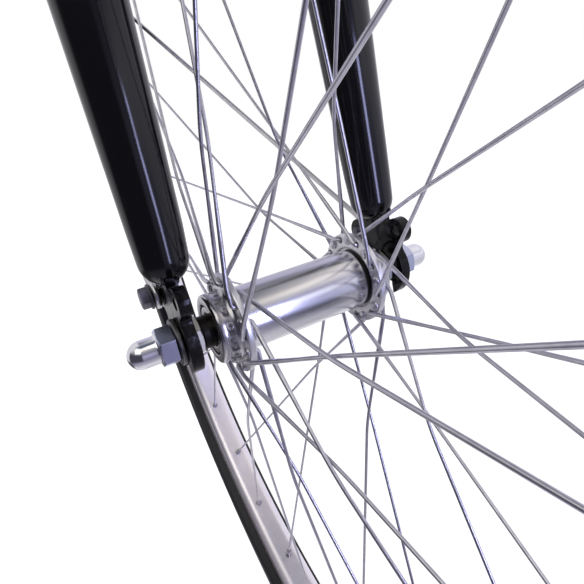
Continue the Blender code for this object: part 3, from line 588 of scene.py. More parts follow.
def hex_nut(flats, low, high, bore, matrix, both_chamfers=True, turn=0.0):
    """A hexagon turned to a chamfer at its ends and bored."""
    corner = flats / sqrt(3)
    work = bmesh.new()
    bmesh.ops.create_cone(
        work, cap_ends=True, segments=6, radius1=corner, radius2=corner, depth=high - low,
        matrix=Matrix.Rotation(turn, 4, "Z") @ Matrix.Translation((0, 0, (low + high) / 2)))
    reach = (corner - flats / 2) * 0.62
    face = flats / 2 * 0.98
    clear = corner * 1.01
    chamfered = [(0, low)]
    chamfered += [(face, low), (clear, low + reach)] if both_chamfers else [(clear, low)]
    chamfered += [(clear, high - reach), (face, high), (0, high)]
    body = boolean(to_mesh(work, matrix), lathe(chamfered, 64, matrix, closed=False),
                   "INTERSECT")
    if bore:
        hole = [(0, low - bore), (bore * 1.25, low - bore * 0.1), (bore, low + bore * 0.2),
                (bore, high - bore * 0.2), (bore * 1.25, high + bore * 0.1), (0, high + bore)]
        body = boolean(body, lathe(hole, 32, matrix, closed=False))
    return bevelled(body, 0.2 * MM)


def lumps(places, size, voxel, seed):
    """A weld: overlapping drops along a line, under one smooth skin."""
    chance = random.Random(seed)
    work = bmesh.new()
    for place in places:
        radius = size * chance.uniform(0.82, 1.15)
        jitter = Vector([chance.uniform(-0.2, 0.2) * size for _ in range(3)])
        bmesh.ops.create_icosphere(work, subdivisions=2, radius=radius,
                                   matrix=Matrix.Translation(place + jitter))
    skin = modified(raw_mesh(work), "REMESH", mode="VOXEL", voxel_size=voxel,
                    use_smooth_shade=True)
    return modified(skin, "SMOOTH", factor=0.5, iterations=4)


def threads(low, high, outer, depth, pitch):
    """The zigzag outline of a thread between two heights."""
    points = []
    height = low
    while height + pitch <= high:
        points += [(outer - depth, height), (outer, height + pitch * 0.4),
                   (outer, height + pitch * 0.6)]
        height += pitch
    return points + [(outer - depth, height)]


# The fork

def leg_point(run, spread, side):
    return FOOT + UP * run + LEFT * (side * spread)


def blade_stations():
    """(run, spread, ahead radius, across radius) up one blade, from its round foot."""
    stations = []
    for angle in evenly(radians(18), pi / 2, 12):
        run = BLADE_END + BLADE_END_RADIUS * (1 - cos(angle))
        stations.append((run, SPREAD_AT_END, BLADE_END_RADIUS * sin(angle) ** 0.9,
                         BLADE_END_RADIUS * sin(angle)))
    foot_top = stations[-1][0]
    bend_start = LEG_RUN - CROWN_BEND
    for run in evenly(foot_top, TAPER_TOP, 12)[1:] + [bend_start]:
        taper = min(1, (run - BLADE_END) / (TAPER_TOP - BLADE_END))
        radius = BLADE_END_RADIUS + (BLADE_RADIUS - BLADE_END_RADIUS) * taper
        share = (run - BLADE_END) / (bend_start - BLADE_END)
        spread_here = SPREAD_AT_END + (SPREAD_AT_CROWN - SPREAD_AT_END) * share
        stations.append((run, spread_here, radius, radius))
    return stations


def blade_mesh(side):
    work = bmesh.new()

    def ring(centre, one, two):
        return [work.verts.new(centre + one * cos(turn) + two * sin(turn))
                for turn in full_turn(BLADE_SIDES)]
    rings = [ring(leg_point(run, spread, side), AHEAD * ahead, LEFT * (side * across))
             for run, spread, ahead, across in blade_stations()]
    for angle in evenly(0, pi / 2, 20)[1:]:
        centre = leg_point(LEG_RUN - CROWN_BEND + CROWN_BEND * sin(angle),
                           SPREAD_AT_CROWN - CROWN_BEND * (1 - cos(angle)), side)
        out = (LEFT * (side * cos(angle)) + UP * sin(angle)) * BLADE_RADIUS
        rings.append(ring(centre, AHEAD * BLADE_RADIUS, out))
    rings.append(ring(leg_point(LEG_RUN, 8 * MM, side), AHEAD * BLADE_RADIUS,
                      UP * BLADE_RADIUS))
    join_rings(work, rings, caps=True)
    return to_mesh(work)


def belt(circles, step=radians(8)):
    """Arcs and their tangents round (x, y, radius) circles; below zero is a hollow."""
    lines = []
    for index, (x1, y1, r1) in enumerate(circles):
        x2, y2, r2 = circles[(index + 1) % len(circles)]
        lines.append(atan2(y2 - y1, x2 - x1)
                     + asin((r1 - r2) / hypot(x2 - x1, y2 - y1)) - pi / 2)
    outline = []
    for index, (x, y, radius) in enumerate(circles):
        start = lines[index - 1]
        arc = (lines[index] - start) % tau
        if radius < 0:
            arc -= tau
        pieces = max(1, round(abs(arc) / step))
        for number in range(pieces + 1):
            angle = start + arc * number / pieces
            outline.append((x + radius * cos(angle), y + radius * sin(angle)))
    return outline


def eyelet_spot(eyelet):
    reach, turn = eyelet
    return (-reach * sin(turn), reach * cos(turn))


def eyelet_place(eyelet, across):
    ahead, up = eyelet_spot(eyelet)
    return AXLE + AHEAD * ahead + UP * up + LEFT * across


def hollow(first, second, radius):
    """The circle that fillets the gap between two (x, y, radius) circles."""
    near, far = (circle[2] + radius + NUDGE for circle in (first, second))
    x, y = second[0] - first[0], second[1] - first[1]
    distance = hypot(x, y)
    along = (near ** 2 - far ** 2 + distance ** 2) / (2 * distance)
    aside = sqrt(near ** 2 - along ** 2)
    x, y = x / distance, y / distance
    return (first[0] + along * x + aside * y, first[1] + along * y - aside * x, -radius)


def dropout_outline():
    """Two eyelet lobes and the neck above the axle's lobe, with fillets between them."""
    centre = -3.0 * MM
    lobe = (0, 0, DROPOUT_LOBE)
    front = (*eyelet_spot(FRONT_EYELET), EYELET_LOBE)
    rear = (*eyelet_spot(REAR_EYELET), EYELET_LOBE)
    corner = NECK_HALF_WIDTH - 2 * MM

    def neck_fillet(side, eye):
        across = centre + side * (NECK_HALF_WIDTH + NECK_FILLET)
        reach = EYELET_LOBE + NECK_FILLET + NUDGE
        return (across, eye[1] + sqrt(reach ** 2 - (across - eye[0]) ** 2), -NECK_FILLET)
    return belt([
        lobe,
        hollow(lobe, front, LOBE_FILLET),
        front,
        neck_fillet(1, front),
        (centre + corner, NECK_TOP, 2 * MM),
        (centre - corner, NECK_TOP, 2 * MM),
        neck_fillet(-1, rear),
        rear,
        hollow(rear, lobe, LOBE_FILLET),
    ])


def dropout_mesh(side):
    """The plate with its slot and eyelet holes, its edges rounded."""
    plate = bmesh.new()
    prism_into(plate, dropout_outline(), DROPOUT_INNER, DROPOUT_OUTER)
    half_slot = AXLE_RADIUS + 0.3 * MM
    past_edge = -30 * MM
    holes = [belt([(0, 0, half_slot), (0, past_edge, half_slot)])]
    for eyelet in (FRONT_EYELET, REAR_EYELET):
        x, y = eyelet_spot(eyelet)
        holes.append([(x + EYELET_HOLE * cos(turn), y + EYELET_HOLE * sin(turn))
                      for turn in full_turn(32)])
    work = bmesh.new()
    for hole in holes:
        prism_into(work, hole, DROPOUT_INNER - MM, DROPOUT_OUTER + MM)
    mesh = bevelled(boolean(to_mesh(plate), to_mesh(work)), 0.7 * MM, 3, 50)
    axes = Matrix((AHEAD, UP, LEFT * side)).transposed().to_4x4()
    mesh.transform(Matrix.Translation(AXLE) @ axes)
    work = bmesh.new()
    work.from_mesh(mesh)
    return to_mesh(work)


def make_leg(hand, side):
    """Blade, dropout, the weld between them and the weld at the crown."""
    piece("blade_" + hand, blade_mesh(side), "paint", "fork", ["fork_leg_" + hand], 60)
    flat_piece("dropout_" + hand, dropout_mesh(side), "plate_paint")
    seam = []
    count = 22
    for across in (DROPOUT_INNER, DROPOUT_OUTER):
        offset = across - SPREAD_AT_END
        for number in range(count + 1):
            ahead = NECK_HALF_WIDTH * (2 * number / count - 1)
            rise = BLADE_END + BLADE_END_RADIUS - sqrt(
                BLADE_END_RADIUS ** 2 - offset ** 2 - ahead ** 2)
            seam.append(FOOT + UP * rise + LEFT * (side * across) + AHEAD * ahead)
    piece("dropout_weld_" + hand, lumps(seam, 1.35 * MM, 0.35 * MM, SEED + side),
          "weld_paint", "fork", (), 80)
    crown = []
    for turn in full_turn(44):
        ahead = BLADE_RADIUS * cos(turn)
        across = sqrt(max(STEERER_RADIUS ** 2 - ahead ** 2, 0)) + 0.6 * MM
        crown.append(Vector((ahead, side * across, CROWN_HEIGHT + BLADE_RADIUS * sin(turn))))
    piece("crown_weld_" + hand, lumps(crown, 1.9 * MM, 0.6 * MM, SEED + 5 + side), "paint",
          "fork", (), 80)


def make_steerer():
    """The tube with its thread and race seat, and the lower race."""
    low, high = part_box("steerer_tube")
    bore = STEERER_RADIUS - 1.9 * MM
    shoulder = 18.5 * MM
    thread_low = high.z - 34 * MM
    profile = [(bore, high.z), (STEERER_RADIUS - 0.6 * MM, high.z)]
    profile += threads(thread_low, high.z - 0.6 * MM, STEERER_RADIUS, 0.5 * MM, MM)[::-1]
    profile += filleted([
        (STEERER_RADIUS, thread_low - 0.4 * MM, 0),
        (STEERER_RADIUS, 6 * MM, 0.3 * MM),
        (15.0 * MM, 5 * MM, 0.3 * MM),
        (15.0 * MM, 0, 0),
        (shoulder, 0, 0.5 * MM),
        (shoulder, -5 * MM, 0.8 * MM),
        (STEERER_RADIUS, -5 * MM, 0.6 * MM),
        (STEERER_RADIUS, low.z, 0.4 * MM),
        (bore, low.z, 0.4 * MM),
        (bore, high.z - MM, 0),
    ], closed=False)
    upright = Matrix.Identity(4)
    piece("steerer", lathe(profile, 96, upright), "paint", "fork", ["steerer_tube"])
    race = filleted([tuple(value * MM for value in corner) for corner in (
        (15.3, 6, 0.3), (17.8, 6, 0.5), (18.4, 4.6, 1.2),
        (19.5, 3, 0.5), (19.5, 0.3, 0.4), (15.3, 0.3, 0.2))])
    piece("lower_race", lathe(race, 96, upright), "chrome", "fork", ["crown_race"])


# The axle and its nuts

def make_axle():
    low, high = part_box("axle")
    outline = [(0, low.y), *threads(low.y + 0.2 * MM, high.y, AXLE_RADIUS, 0.45 * MM, MM),
               (AXLE_RADIUS - 0.6 * MM, high.y), (0, high.y)]
    piece("threaded_axle", lathe(outline, 32, ring_frame(1), closed=False), "dark_steel",
          "fork", ["axle"])


def make_axle_end(hand, side):
    """Cone, locknut, washer and cap nut on one side, from the hub outwards."""
    place = ring_frame(side)
    cone = band(5.1 * MM, CONE_RADIUS, *CONE_ENDS, (0.2, 0.2, 0.3, 0.2))
    piece("cone_sleeve_" + hand, lathe(cone, 64, place), "black_steel", "fork",
          ["cone_" + hand])
    nut = hex_nut(NUT_FLATS, *LOCKNUT_ENDS, NUT_BORE, place)
    flat_piece("lock_nut_" + hand, nut, "yellow_zinc", ["locknut_" + hand])
    disc = filleted([
        (NUT_BORE, WASHER_INNER, 0.2 * MM),
        (WASHER_RADIUS, WASHER_INNER, 0.3 * MM),
        (WASHER_RADIUS, WASHER_INNER + 1.8 * MM, 0.5 * MM),
        (NUT_BORE, WASHER_INNER + 2 * MM, 0.3 * MM)])
    piece("axle_washer_" + hand, lathe(disc, 80, place), "dull_zinc", "fork",
          ["washer_" + hand])
    top = CAP_NUT_INNER + 6.5 * MM
    nut = hex_nut(NUT_FLATS, CAP_NUT_INNER, top, NUT_BORE, place, False)
    flat_piece("nut_hexagon_" + hand, nut, "blue_zinc")
    tip = top + 12.1 * MM
    skirt = CAP_RADIUS + 0.8 * MM
    bore = 5.06 * MM
    dome = [(0, tip)] + [(CAP_RADIUS * sin(turn), tip - CAP_RADIUS * (1 - cos(turn)))
                         for turn in evenly(0, pi / 2, 14)[1:]]
    dome += [(CAP_RADIUS, top + 1.2 * MM), (CAP_RADIUS + 0.15 * MM, top + 0.5 * MM),
             (skirt, top + 0.05 * MM), (skirt, top - 0.3 * MM), (bore, top - 0.3 * MM),
             (bore, top + 5 * MM), (0, top + 7 * MM)]
    piece("nut_cap_" + hand, lathe(dome, 64, place, closed=False), "chrome", "fork",
          ["cap_nut_" + hand], 40)


def make_eyelet_bolt(hand, side):
    """The bolt that holds the stay's eye, with its washer."""
    place = ring_frame(side, eyelet_place(REAR_EYELET, 0))
    seat = STAY_SEAT + 2 * STAY_RADIUS + 0.3 * MM
    washer = band(BOLT_RADIUS, 5.5 * MM, seat, seat + MM, (0.1, 0.2, 0.3, 0.1))
    piece("eyelet_washer_" + hand, lathe(washer, 48, place), "dark_steel", "fork")
    head = hex_nut(BOLT_FLATS, seat + 1.05 * MM, seat + 4.6 * MM, 0, place, False, 0.3)
    flat_piece("eyelet_head_" + hand, head, "dark_steel", ["eyelet_bolt_" + hand])
    shank = [(0, 47.8 * MM), *threads(48 * MM, seat + MM, BOLT_RADIUS, 0.28 * MM, 0.8 * MM),
             (0, seat + 1.2 * MM)]
    piece("eyelet_shank_" + hand, lathe(shank, 24, place, closed=False), "dark_steel",
          "fork")


# The hub

def make_barrel():
    end = BARREL_END - 0.7 * MM
    outline = band(BARREL_RADIUS - 2.4 * MM, BARREL_RADIUS, -end, end, (0.2, 0.6, 0.6, 0.2))
    piece("barrel", lathe(outline, 160, ring_frame(1)), "barrel", "wheel", ["hub_barrel"])


def spoke_hole(side, number):
    return SPOKE_PHASE[side] + tau * number / SPOKES_A_SIDE


def make_flange(hand, side):
    """A pressed flange with drilled holes, the bearing cup and its dust seal."""
    place = ring_frame(side)
    spigot = BARREL_RADIUS - 2.7 * MM
    spigot_end = FLANGE_INNER - 8 * MM
    cone_hole = CONE_RADIUS + 0.5 * MM
    seal_out, seal_in = 11.1 * MM, 10.0 * MM
    lip = CUP_FACE - 0.4 * MM
    floor = CUP_FACE - 2.2 * MM
    profile = filleted([
        (seal_out, CUP_FACE, 0.3 * MM),
        (CUP_RADIUS - 0.2 * MM, CUP_FACE, 1.6 * MM),
        (CUP_RADIUS, CUP_FACE - 3.0 * MM, 0.8 * MM),
        (CUP_RADIUS - 0.5 * MM, FLANGE_OUTER + 2.2 * MM, 0.8 * MM),
        (CUP_RADIUS + 0.2 * MM, FLANGE_OUTER, 1.0 * MM),
        (FLANGE_RADIUS, FLANGE_OUTER, 0.9 * MM),
        (FLANGE_RADIUS, FLANGE_INNER, 0.9 * MM),
        (BARREL_RADIUS + 0.9 * MM, FLANGE_INNER, 0.3 * MM),
        (BARREL_RADIUS + 0.7 * MM, FLANGE_INNER + 0.5 * MM, 0),
        (spigot, FLANGE_INNER + 0.5 * MM, 0),
        (spigot, spigot_end, 0),
        (cone_hole, spigot_end, 0),
        (cone_hole, lip, 0.3 * MM),
        (seal_in, lip, 0.3 * MM),
        (seal_in, floor, 0),
        (seal_out, floor, 0),
    ])
    hole = 1.45 * MM
    sink = hole * 2.2
    waist = 1.17 * MM
    reach = 3 * MM
    cutter = [(0, reach), (sink, reach), (hole, waist), (hole, -waist), (sink, -reach),
              (0, -reach)]
    middle = side * (FLANGE_INNER + FLANGE_OUTER) / 2
    work = bmesh.new()
    for number in range(SPOKES_A_SIDE):
        spot = polar(SPOKE_CIRCLE, spoke_hole(side, number), middle)
        turned_into(work, cutter, ring_frame(1, spot))
    mesh = boolean(lathe(profile, 144, place), raw_mesh(work))
    piece("flange_" + hand, mesh, "flange", "wheel", ["hub_flange_" + hand], 28)
    slack = 0.05 * MM
    ring = band(seal_in + slack, seal_out - slack, floor + 0.1 * MM, CUP_FACE - 1.3 * MM,
                (0, 0, 0.2, 0.2))
    piece("dust_seal_" + hand, lathe(ring, 96, place), "seal", "wheel")
    # A black rubber ring in the joint between barrel and flange: painted shade standing in for
    # the groove's shadow there.
    gap = band(spigot + 0.1 * MM, BARREL_RADIUS - 0.4 * MM, BARREL_END - 0.8 * MM,
               FLANGE_INNER + 0.4 * MM)
    piece("barrel_joint_shade_" + hand, lathe(gap, 96, place), "seal", "wheel")


# Spokes and nipples

def spoke_path(side, number):
    """A spoke's place beside its hole, at the flange's edge, at the crossing and in the rim.

    The last value points back through the flange.
    """
    outside = number % 2 == 0
    turn = SPOKE_TURN[side] if outside else -SPOKE_TURN[side]
    hole = spoke_hole(side, number)
    face = 1 if outside else -1
    level = FLANGE_OUTER + SPOKE_LIFT if outside else FLANGE_INNER - SPOKE_LIFT
    leave = polar(SPOKE_CIRCLE, hole, side * level)
    seat = polar(RIM_INNER + 3 * MM, hole + turn * LACING, side * NIPPLE_OFFSET)
    edge = leave.lerp(seat, EDGE_SHARE)
    edge.y = leave.y
    crossing = leave.lerp(seat, CROSSING_SHARE)
    crossing.y = side * (CROSSING_ACROSS[side] - face * (SPOKE_RADIUS + CROSSING_GAP / 2))
    return leave, edge, crossing, seat, LEFT * (-face * side)


def spoke_mesh(side, number):
    """A wire with its elbow and head."""
    leave, edge, crossing, seat, back = spoke_path(side, number)
    head = leave + back * (SPOKE_LIFT + FLANGE_OUTER - FLANGE_INNER)
    bend = smooth_path([head + back * 0.2 * MM, leave, edge], ELBOW, 8)[:-1]
    bend += smooth_path([leave.lerp(edge, 0.7), edge, edge.lerp(crossing, 0.3)], 2 * MM, 4)[1:]
    middle = smooth_path([edge.lerp(crossing, 0.6), crossing, seat.lerp(crossing, 0.2)],
                         9 * MM, 8)
    end = [seat.lerp(crossing, 0.15), seat]
    radii = ([SPOKE_RADIUS] * len(bend) + [MIDDLE_RADIUS] * len(middle)
             + [SPOKE_RADIUS] * len(end))
    work = bmesh.new()
    sweep_into(work, bend + middle + end, radii)
    button = [(0, -1.25 * MM), (1.2 * MM, -1.2 * MM), (1.9 * MM, -0.85 * MM),
              (2.15 * MM, -0.35 * MM), (2.1 * MM, 0), (SPOKE_RADIUS, 0.1 * MM), (0, 0.1 * MM)]
    turned_into(work, button, aimed(head, -back))
    return to_mesh(work)


def nipple_mesh(side, number):
    """A nipple: a round shoulder at the rim and four flats for the key."""
    _, _, crossing, seat, _ = spoke_path(side, number)
    along = (seat - crossing).normalized()
    half_flats = 1.65 * MM
    # Radius and height in mm, and how square the section is
    rows = ((SPOKE_RADIUS / MM, 0, 0), (1.5, 0, 0), (1.85, 0.5, 0.6), (2.05, 1.0, 1),
            (2.05, 5.6, 1), (2.05, 6.2, 0), (2.15, 6.6, 0), (2.15, 10.6, 0), (2.95, 11.4, 0),
            (3.0, 12.6, 0), (2.4, 13.2, 0), (SPOKE_RADIUS / MM, 13.2, 0))
    work = bmesh.new()
    rings = []
    for radius, height, square in rows:
        ring = []
        for turn in full_turn(24):
            side_reach = half_flats / max(abs(cos(turn)), abs(sin(turn)))
            reach = min(radius * MM, side_reach) * square + radius * MM * (1 - square)
            ring.append(work.verts.new((reach * cos(turn), reach * sin(turn), height * MM)))
        rings.append(ring)
    join_rings(work, rings, caps=True)
    return to_mesh(work, aimed(seat - along * (NIPPLE_LENGTH + 0.5 * MM), along))


def make_spokes(hand, side):
    for number in range(SPOKES_A_SIDE):
        label = f"{hand}_{number + 1:02d}"
        piece("spoke_wire_" + label, spoke_mesh(side, number), "spoke", "wheel",
              ["spoke_" + label], 50)
        piece("nipple_" + label, nipple_mesh(side, number), "nipple", "wheel", (), 40)


# Rim, tyre and valve

def make_rim():
    """The hoop, drilled for each nipple and for the valve."""
    half = RIM_HALF_WIDTH
    inside = half - 1.8 * MM
    bed = RIM_INNER + 3 * MM
    well = 5.8 * MM
    section = [
        (RIM_INNER, half - 4 * MM, 3 * MM),
        (bed, half, 1.5 * MM),
        (RIM_EDGE, half, 0.8 * MM),
        (RIM_EDGE, inside, 0.6 * MM),
        (RIM_EDGE - 1.6 * MM, inside - 0.5 * MM, 0.5 * MM),
        (BEAD_SEAT, inside, 0.5 * MM),
        (BEAD_SEAT - 1.5 * MM, well + MM, MM),
        (bed, well, 1.5 * MM),
    ]
    profile = filleted(section + [(x, -y, fillet) for x, y, fillet in section[::-1]])
    work = bmesh.new()

    def drill(place, along, radius):
        bmesh.ops.create_cone(work, cap_ends=True, segments=20, radius1=radius,
                              radius2=radius, depth=14 * MM, matrix=aimed(place, along))
    for side in SIDES.values():
        for number in range(SPOKES_A_SIDE):
            _, _, crossing, seat, _ = spoke_path(side, number)
            drill(seat, (seat - crossing).normalized(), 2.45 * MM)
    low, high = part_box("valve")
    valve = ((low + high) / 2 - AXLE).normalized()
    drill(AXLE + valve * RIM_INNER, valve, 4.3 * MM)
    mesh = boolean(lathe(profile, 216, ring_frame(1)), raw_mesh(work))
    piece("rim_hoop", mesh, "rim", "wheel", ["rim"], 32)


def tread_depth(around, across):
    """How deep the tread is cut, from 0 to 1, at a place in one pattern block."""
    aside = abs(across)
    slant = (around + aside * 22) % 1.0
    rib = aside < 0.9 * MM or 6.2 * MM < aside < 7.4 * MM
    block = slant < 0.2 and 7 * MM < aside < 16.5 * MM
    sipe = abs(slant - 0.6) < 0.045 and 1.6 * MM < aside < 5.6 * MM
    return 1.0 if rib or block else 0.6 if sipe else 0.0


def make_tyre():
    """The casing with a city tread: ribs, slanted grooves and fine sidewall lines."""
    centre = TYRE_RADIUS - TYRE_HALF_SECTION
    casing = TYRE_HALF_SECTION
    inner = casing - TYRE_WALL
    step_in = radians(8)
    bead_low = BEAD_SEAT + 0.3 * MM
    bead_out = RIM_HALF_WIDTH - 2.1 * MM
    bead_in = bead_out - 3 * MM
    neck = RIM_EDGE + MM
    end = acos(-(centre - neck) / casing) - step_in
    outline = [(bead_low, bead_out, 0), (neck, bead_out, 0)]
    steps = 62
    for number in range(steps + 1):
        angle = end * (1 - 2 * number / steps)
        outline.append((centre + casing * cos(angle), TYRE_HALF_WIDTH * sin(angle), angle))
    outline += [(neck, -bead_out, 0), (bead_low, -bead_out, 0), (bead_low, -bead_in, 0),
                (neck + 1.2 * MM, -bead_in, 0)]
    steps = 14
    for number in range(steps + 1):
        angle = (end - step_in) * (2 * number / steps - 1)
        outline.append((centre + inner * cos(angle),
                        (TYRE_HALF_WIDTH - TYRE_WALL) * sin(angle), 0))
    outline += [(neck + 1.2 * MM, bead_in, 0), (bead_low, bead_in, 0)]
    blocks = 96
    columns = 10
    work = bmesh.new()
    rings = []
    for radius, across, angle in outline:
        ring = []
        arc = casing * angle
        sidewall = abs(angle) > TREAD_END
        line = LINE_HEIGHT if sidewall and round(abs(arc) / MM) % 5 == 0 else 0
        for number in range(blocks * columns):
            cut = 0.0 if sidewall or angle == 0 and abs(across) > MM else tread_depth(
                number / columns % 1.0, arc)
            reach = radius - cut * TREAD_DEPTH * cos(angle) + line
            turn = tau * number / (blocks * columns)
            ring.append(work.verts.new((reach * cos(turn), reach * sin(turn), across)))
        rings.append(ring)
    join_rings(work, rings, closed_loop=True)
    bmesh.ops.recalc_face_normals(work, faces=work.faces)
    bmesh.ops.transform(work, matrix=ring_frame(1), verts=work.verts)
    piece("tyre_casing", raw_mesh(work), "tyre", "wheel", ["tyre"], 30)


def make_valve():
    """The threaded stem, its cap and the nut on the rim."""
    low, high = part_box("valve")
    place = aimed(AXLE, ((low + high) / 2 - AXLE).normalized())
    stem = 3.9 * MM
    cap = 4.0 * MM
    tip = RIM_INNER - 36 * MM
    nut = RIM_INNER - 1.2 * MM
    outline = [(0, RIM_INNER + 6 * MM), (stem, RIM_INNER + 6 * MM), (stem, nut)]
    outline += threads(RIM_INNER - 22 * MM, nut, stem, 0.3 * MM, 0.9 * MM)[::-1]
    outline += filleted([
        (stem, RIM_INNER - 22.2 * MM, 0.3 * MM), (cap, RIM_INNER - 23 * MM, 0.3 * MM),
        (cap, tip + 3 * MM, MM), (2.6 * MM, tip, 0.8 * MM), (0, tip, 0)], closed=False)
    piece("valve_stem", lathe(outline, 40, place, closed=False), "brass", "wheel",
          ["valve"], 30)
    collar = band(stem - 0.2 * MM, 7.4 * MM, nut - 2.6 * MM, nut, (0, 0.6, 0.4, 0))
    piece("valve_nut", lathe(collar, 12, place), "brass", "wheel", (), 20)


# Mudguard, bracket and stay

def guard_drop(across):
    return MUDGUARD_DEPTH * (across / MUDGUARD_HALF_WIDTH) ** 2


def make_mudguard():
    """A crowned strip with rolled edges."""
    thick = 1.3 * MM
    edge = 1.5 * MM
    half = MUDGUARD_HALF_WIDTH - edge
    top, bottom = [], []
    for across in evenly(half, -half, 24):
        radius = MUDGUARD_RADIUS - guard_drop(across)
        top.append((radius, across))
        bottom.append((radius - thick, across))

    def roll(sign):
        centre = (top[0][0] - edge, sign * half)
        return [(centre[0] + edge * cos(turn), centre[1] + sign * edge * sin(turn))
                for turn in evenly(radians(20), radians(270), 10)]
    outline = top + roll(-1) + bottom[::-1] + roll(1)[::-1]
    work = bmesh.new()
    rings = [[work.verts.new(polar(radius, angle, across)) for radius, across in outline]
             for angle in evenly(MUDGUARD_FRONT, MUDGUARD_REAR, 120)]
    join_rings(work, rings, caps=True)
    piece("mudguard_blade", to_mesh(work), "plastic", "fork", ["mudguard"], 45)


def make_stay():
    """One wire: an eye on each rear eyelet and a run over the mudguard."""
    clear = STAY_RADIUS + 0.9 * MM
    across = MUDGUARD_HALF_WIDTH + clear
    crossing = []
    for spot in evenly(across, -across, 16):
        inside = max(-MUDGUARD_HALF_WIDTH, min(MUDGUARD_HALF_WIDTH, spot))
        radius = MUDGUARD_RADIUS - guard_drop(inside) + clear
        crossing.append(polar(radius, STAY_ANGLE, spot))
    below = MUDGUARD_RADIUS - MUDGUARD_DEPTH - 6 * MM
    ends = {}
    for side in SIDES.values():
        corner = polar(below, STAY_ANGLE, side * across)
        eye = eyelet_place(REAR_EYELET, side * (STAY_SEAT + STAY_RADIUS))
        outward = corner - eye
        outward.y = 0
        outward.normalize()
        beside = outward.cross(LEFT) * side
        loop = [eye + (outward * cos(turn) + beside * sin(turn)) * STAY_EYE
                for turn in evenly(radians(340), 0, 24)]
        run = smooth_path([eye + outward * (STAY_EYE + MM), eye + outward * 12 * MM, corner,
                           crossing[0] if side > 0 else crossing[-1]], 4 * MM, 5)
        ends[side] = loop + run[:-1]
    points = ends[1] + crossing + ends[-1][::-1]
    work = bmesh.new()
    sweep_into(work, points, [STAY_RADIUS] * len(points))
    piece("stay_wire", to_mesh(work), "zinc", "fork", ["mudguard_stay"], 60)


def make_bracket():
    """The model's own bent strip, from the crown to the mudguard, with its edges rounded."""
    work = bmesh.new()
    work.from_mesh(frame["nodes"]["mudguard_bracket"].data)
    bmesh.ops.remove_doubles(work, verts=work.verts, dist=NUDGE)
    bmesh.ops.dissolve_limit(work, angle_limit=radians(1), verts=work.verts,
                             edges=work.edges)
    piece("bracket_strip", bevelled(raw_mesh(work), 0.4 * MM), "zinc", "fork",
          ["mudguard_bracket"], 40)


# Stage

def make_floor():
    """A white floor that keeps the wheel's soft shadow and that metal doesn't mirror."""
    work = bmesh.new()
    reach = 14.0
    low = cad_low[2] - 0.5 * MM
    for x, y in ((-reach, -reach), (reach, -reach), (reach, reach), (-reach, reach)):
        work.verts.new((x, y, low))
    work.faces.new(work.verts)
    floor = link_object("floor", to_mesh(work))
    made, tree, shader = new_material("floor_white")
    fill(tree, shader, {"Base Color": (0.62, 0.62, 0.62), "Roughness": 1.0,
                        "Specular IOR Level": 0.0})
    path = add_node(tree, "ShaderNodeLightPath").outputs
    glow = arithmetic(tree, "MULTIPLY", path["Is Camera Ray"], 0.75)
    lamp = add_node(tree, "ShaderNodeEmission", {"Strength": glow})
    both = add_node(tree, "ShaderNodeAddShader", {
        0: shader.outputs["BSDF"], 1: lamp.outputs["Emission"]})
    clear = add_node(tree, "ShaderNodeBsdfTransparent")
    choice = add_node(tree, "ShaderNodeMixShader", {
        "Fac": path["Is Glossy Ray"], 1: both.outputs["Shader"], 2: clear.outputs["BSDF"]})
    fill(tree, tree.nodes["Material Output"], {"Surface": choice.outputs["Shader"]})
    floor.data.materials.append(made)


def make_lamp(name, place, size, power, colour):
    """A rectangular lamp that faces the axle."""
    data = bpy.data.lights.new(name, "AREA")
    data.energy = power
    data.color = colour
    data.shape = "RECTANGLE"
    data.size, data.size_y = size
    link_object(name, data).matrix_world = aimed(place, place - AXLE)


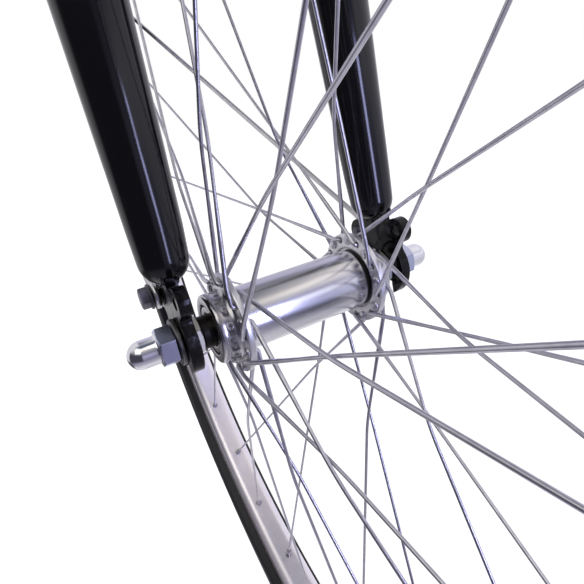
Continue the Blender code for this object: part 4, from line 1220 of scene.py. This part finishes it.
def make_world():
    """White where the camera looks; a studio of soft bands where the metal looks."""
    world = bpy.data.worlds.new("studio")
    bpy.context.scene.world = world
    world.use_nodes = True
    tree = world.node_tree
    tree.nodes.clear()
    place = add_node(tree, "ShaderNodeTexCoord").outputs["Generated"]
    ahead, left, height = add_node(tree, "ShaderNodeSeparateXYZ", {0: place}).outputs
    beside = bands(tree, height, [
        (-1.0, (0.52, 0.52, 0.57)), (-0.86, (0.50, 0.49, 0.54)), (-0.66, (0.16, 0.16, 0.19)),
        (-0.46, (0.05, 0.05, 0.07)), (-0.26, (0.30, 0.32, 0.50)), (0.0, (0.42, 0.42, 0.62)),
        (0.22, (1.02, 1.02, 1.14)), (0.45, (0.30, 0.30, 0.41)), (0.64, (0.82, 0.78, 0.76)),
        (0.76, (1.12, 1.06, 0.98)), (0.88, (0.50, 0.48, 0.49)), (1.0, (0.40, 0.40, 0.43))])
    before = bands(tree, height, [
        (-1.0, (0.75, 0.75, 0.80)), (-0.75, (0.40, 0.39, 0.46)), (-0.42, (0.24, 0.23, 0.33)),
        (0.1, (0.42, 0.40, 0.58)), (0.35, (0.22, 0.23, 0.30)), (0.6, (0.34, 0.34, 0.36)),
        (0.82, (0.84, 0.81, 0.72)), (0.95, (0.16, 0.18, 0.22)), (1.0, (0.10, 0.12, 0.16))])
    room = mixed(tree, smooth_step(tree, left, 0.15, 0.42), before, beside)
    backdrop = bands(tree, height, [
        (-1.0, (0.52, 0.52, 0.57)), (-0.78, (0.88, 0.88, 0.90)), (-0.46, (1.12, 1.12, 1.14)),
        (-0.1, (0.78, 0.77, 0.80)), (0.24, (0.62, 0.60, 0.72)), (0.64, (0.53, 0.52, 0.68)),
        (0.86, (0.18, 0.18, 0.21)), (1.0, (0.40, 0.40, 0.43))])
    behind = bands(tree, height, [
        (-1.0, (0.92, 0.88, 0.96)), (-0.80, (0.88, 0.84, 0.92)), (-0.66, (0.14, 0.13, 0.14)),
        (-0.46, (0.14, 0.13, 0.14)), (-0.28, (0.75, 0.74, 0.78))])
    backdrop = mixed(tree, smooth_step(tree, left, 0.05, -0.12), backdrop, behind)
    studio = mixed(tree, smooth_step(tree, ahead, -0.45, 0.1), backdrop, room)
    level = smooth_step(tree, arithmetic(tree, "ABSOLUTE", height), 0.6, 0.3)
    dark = arithmetic(tree, "MULTIPLY", smooth_step(tree, left, -0.05, -0.25), level)
    dark = arithmetic(tree, "MULTIPLY", dark, smooth_step(tree, ahead, -0.55, -0.25))
    studio = mixed(tree, dark, studio, (0.06, 0.06, 0.08))
    pale = arithmetic(tree, "MULTIPLY", smooth_step(tree, left, 0.54, 0.64), 0.68)
    studio = mixed(tree, pale, studio, (0.86, 0.86, 0.94))
    path = add_node(tree, "ShaderNodeLightPath").outputs
    seen = arithmetic(tree, "MAXIMUM", path["Is Camera Ray"], path["Is Transmission Ray"])
    colour = mixed(tree, path["Is Glossy Ray"], (0.62, 0.62, 0.65), studio)
    colour = mixed(tree, seen, colour, (1.0, 1.0, 1.0))
    light = add_node(tree, "ShaderNodeBackground", {"Color": colour})
    add_node(tree, "ShaderNodeOutputWorld", {"Surface": light.outputs[0]})


def make_camera():
    data = bpy.data.cameras.new("camera")
    data.sensor_width = SENSOR
    data.lens = CAMERA_LENS
    data.clip_start = MM
    camera = link_object("camera", data)
    right = CAMERA_RIGHT.normalized()
    up = -CAMERA_DOWN
    up = (up - right * up.dot(right)).normalized()
    axes = Matrix((right, up, right.cross(up))).transposed().to_4x4()
    camera.matrix_world = Matrix.Translation(CAMERA_PLACE) @ axes
    bpy.context.scene.camera = camera


def make_stage():
    make_floor()
    make_world()
    make_lamp("key", AXLE + Vector((0.8, -0.75, 1.5)), (1.4, 1.4), 5.5, (1.0, 0.97, 0.92))
    make_lamp("strip", AXLE + Vector((0.60, 0.100, 0.05)), (0.100, 0.36), 1.6,
              (0.55, 0.57, 1.0))
    bpy.context.scene.view_settings.view_transform = "Standard"


def main():
    make_camera()
    make_stage()
    for hand, side in SIDES.items():
        make_leg(hand, side)
        make_axle_end(hand, side)
        make_eyelet_bolt(hand, side)
        make_flange(hand, side)
        make_spokes(hand, side)
    make_steerer()
    make_axle()
    make_barrel()
    make_rim()
    make_tyre()
    make_valve()
    make_mudguard()
    make_stay()
    make_bracket()


main()
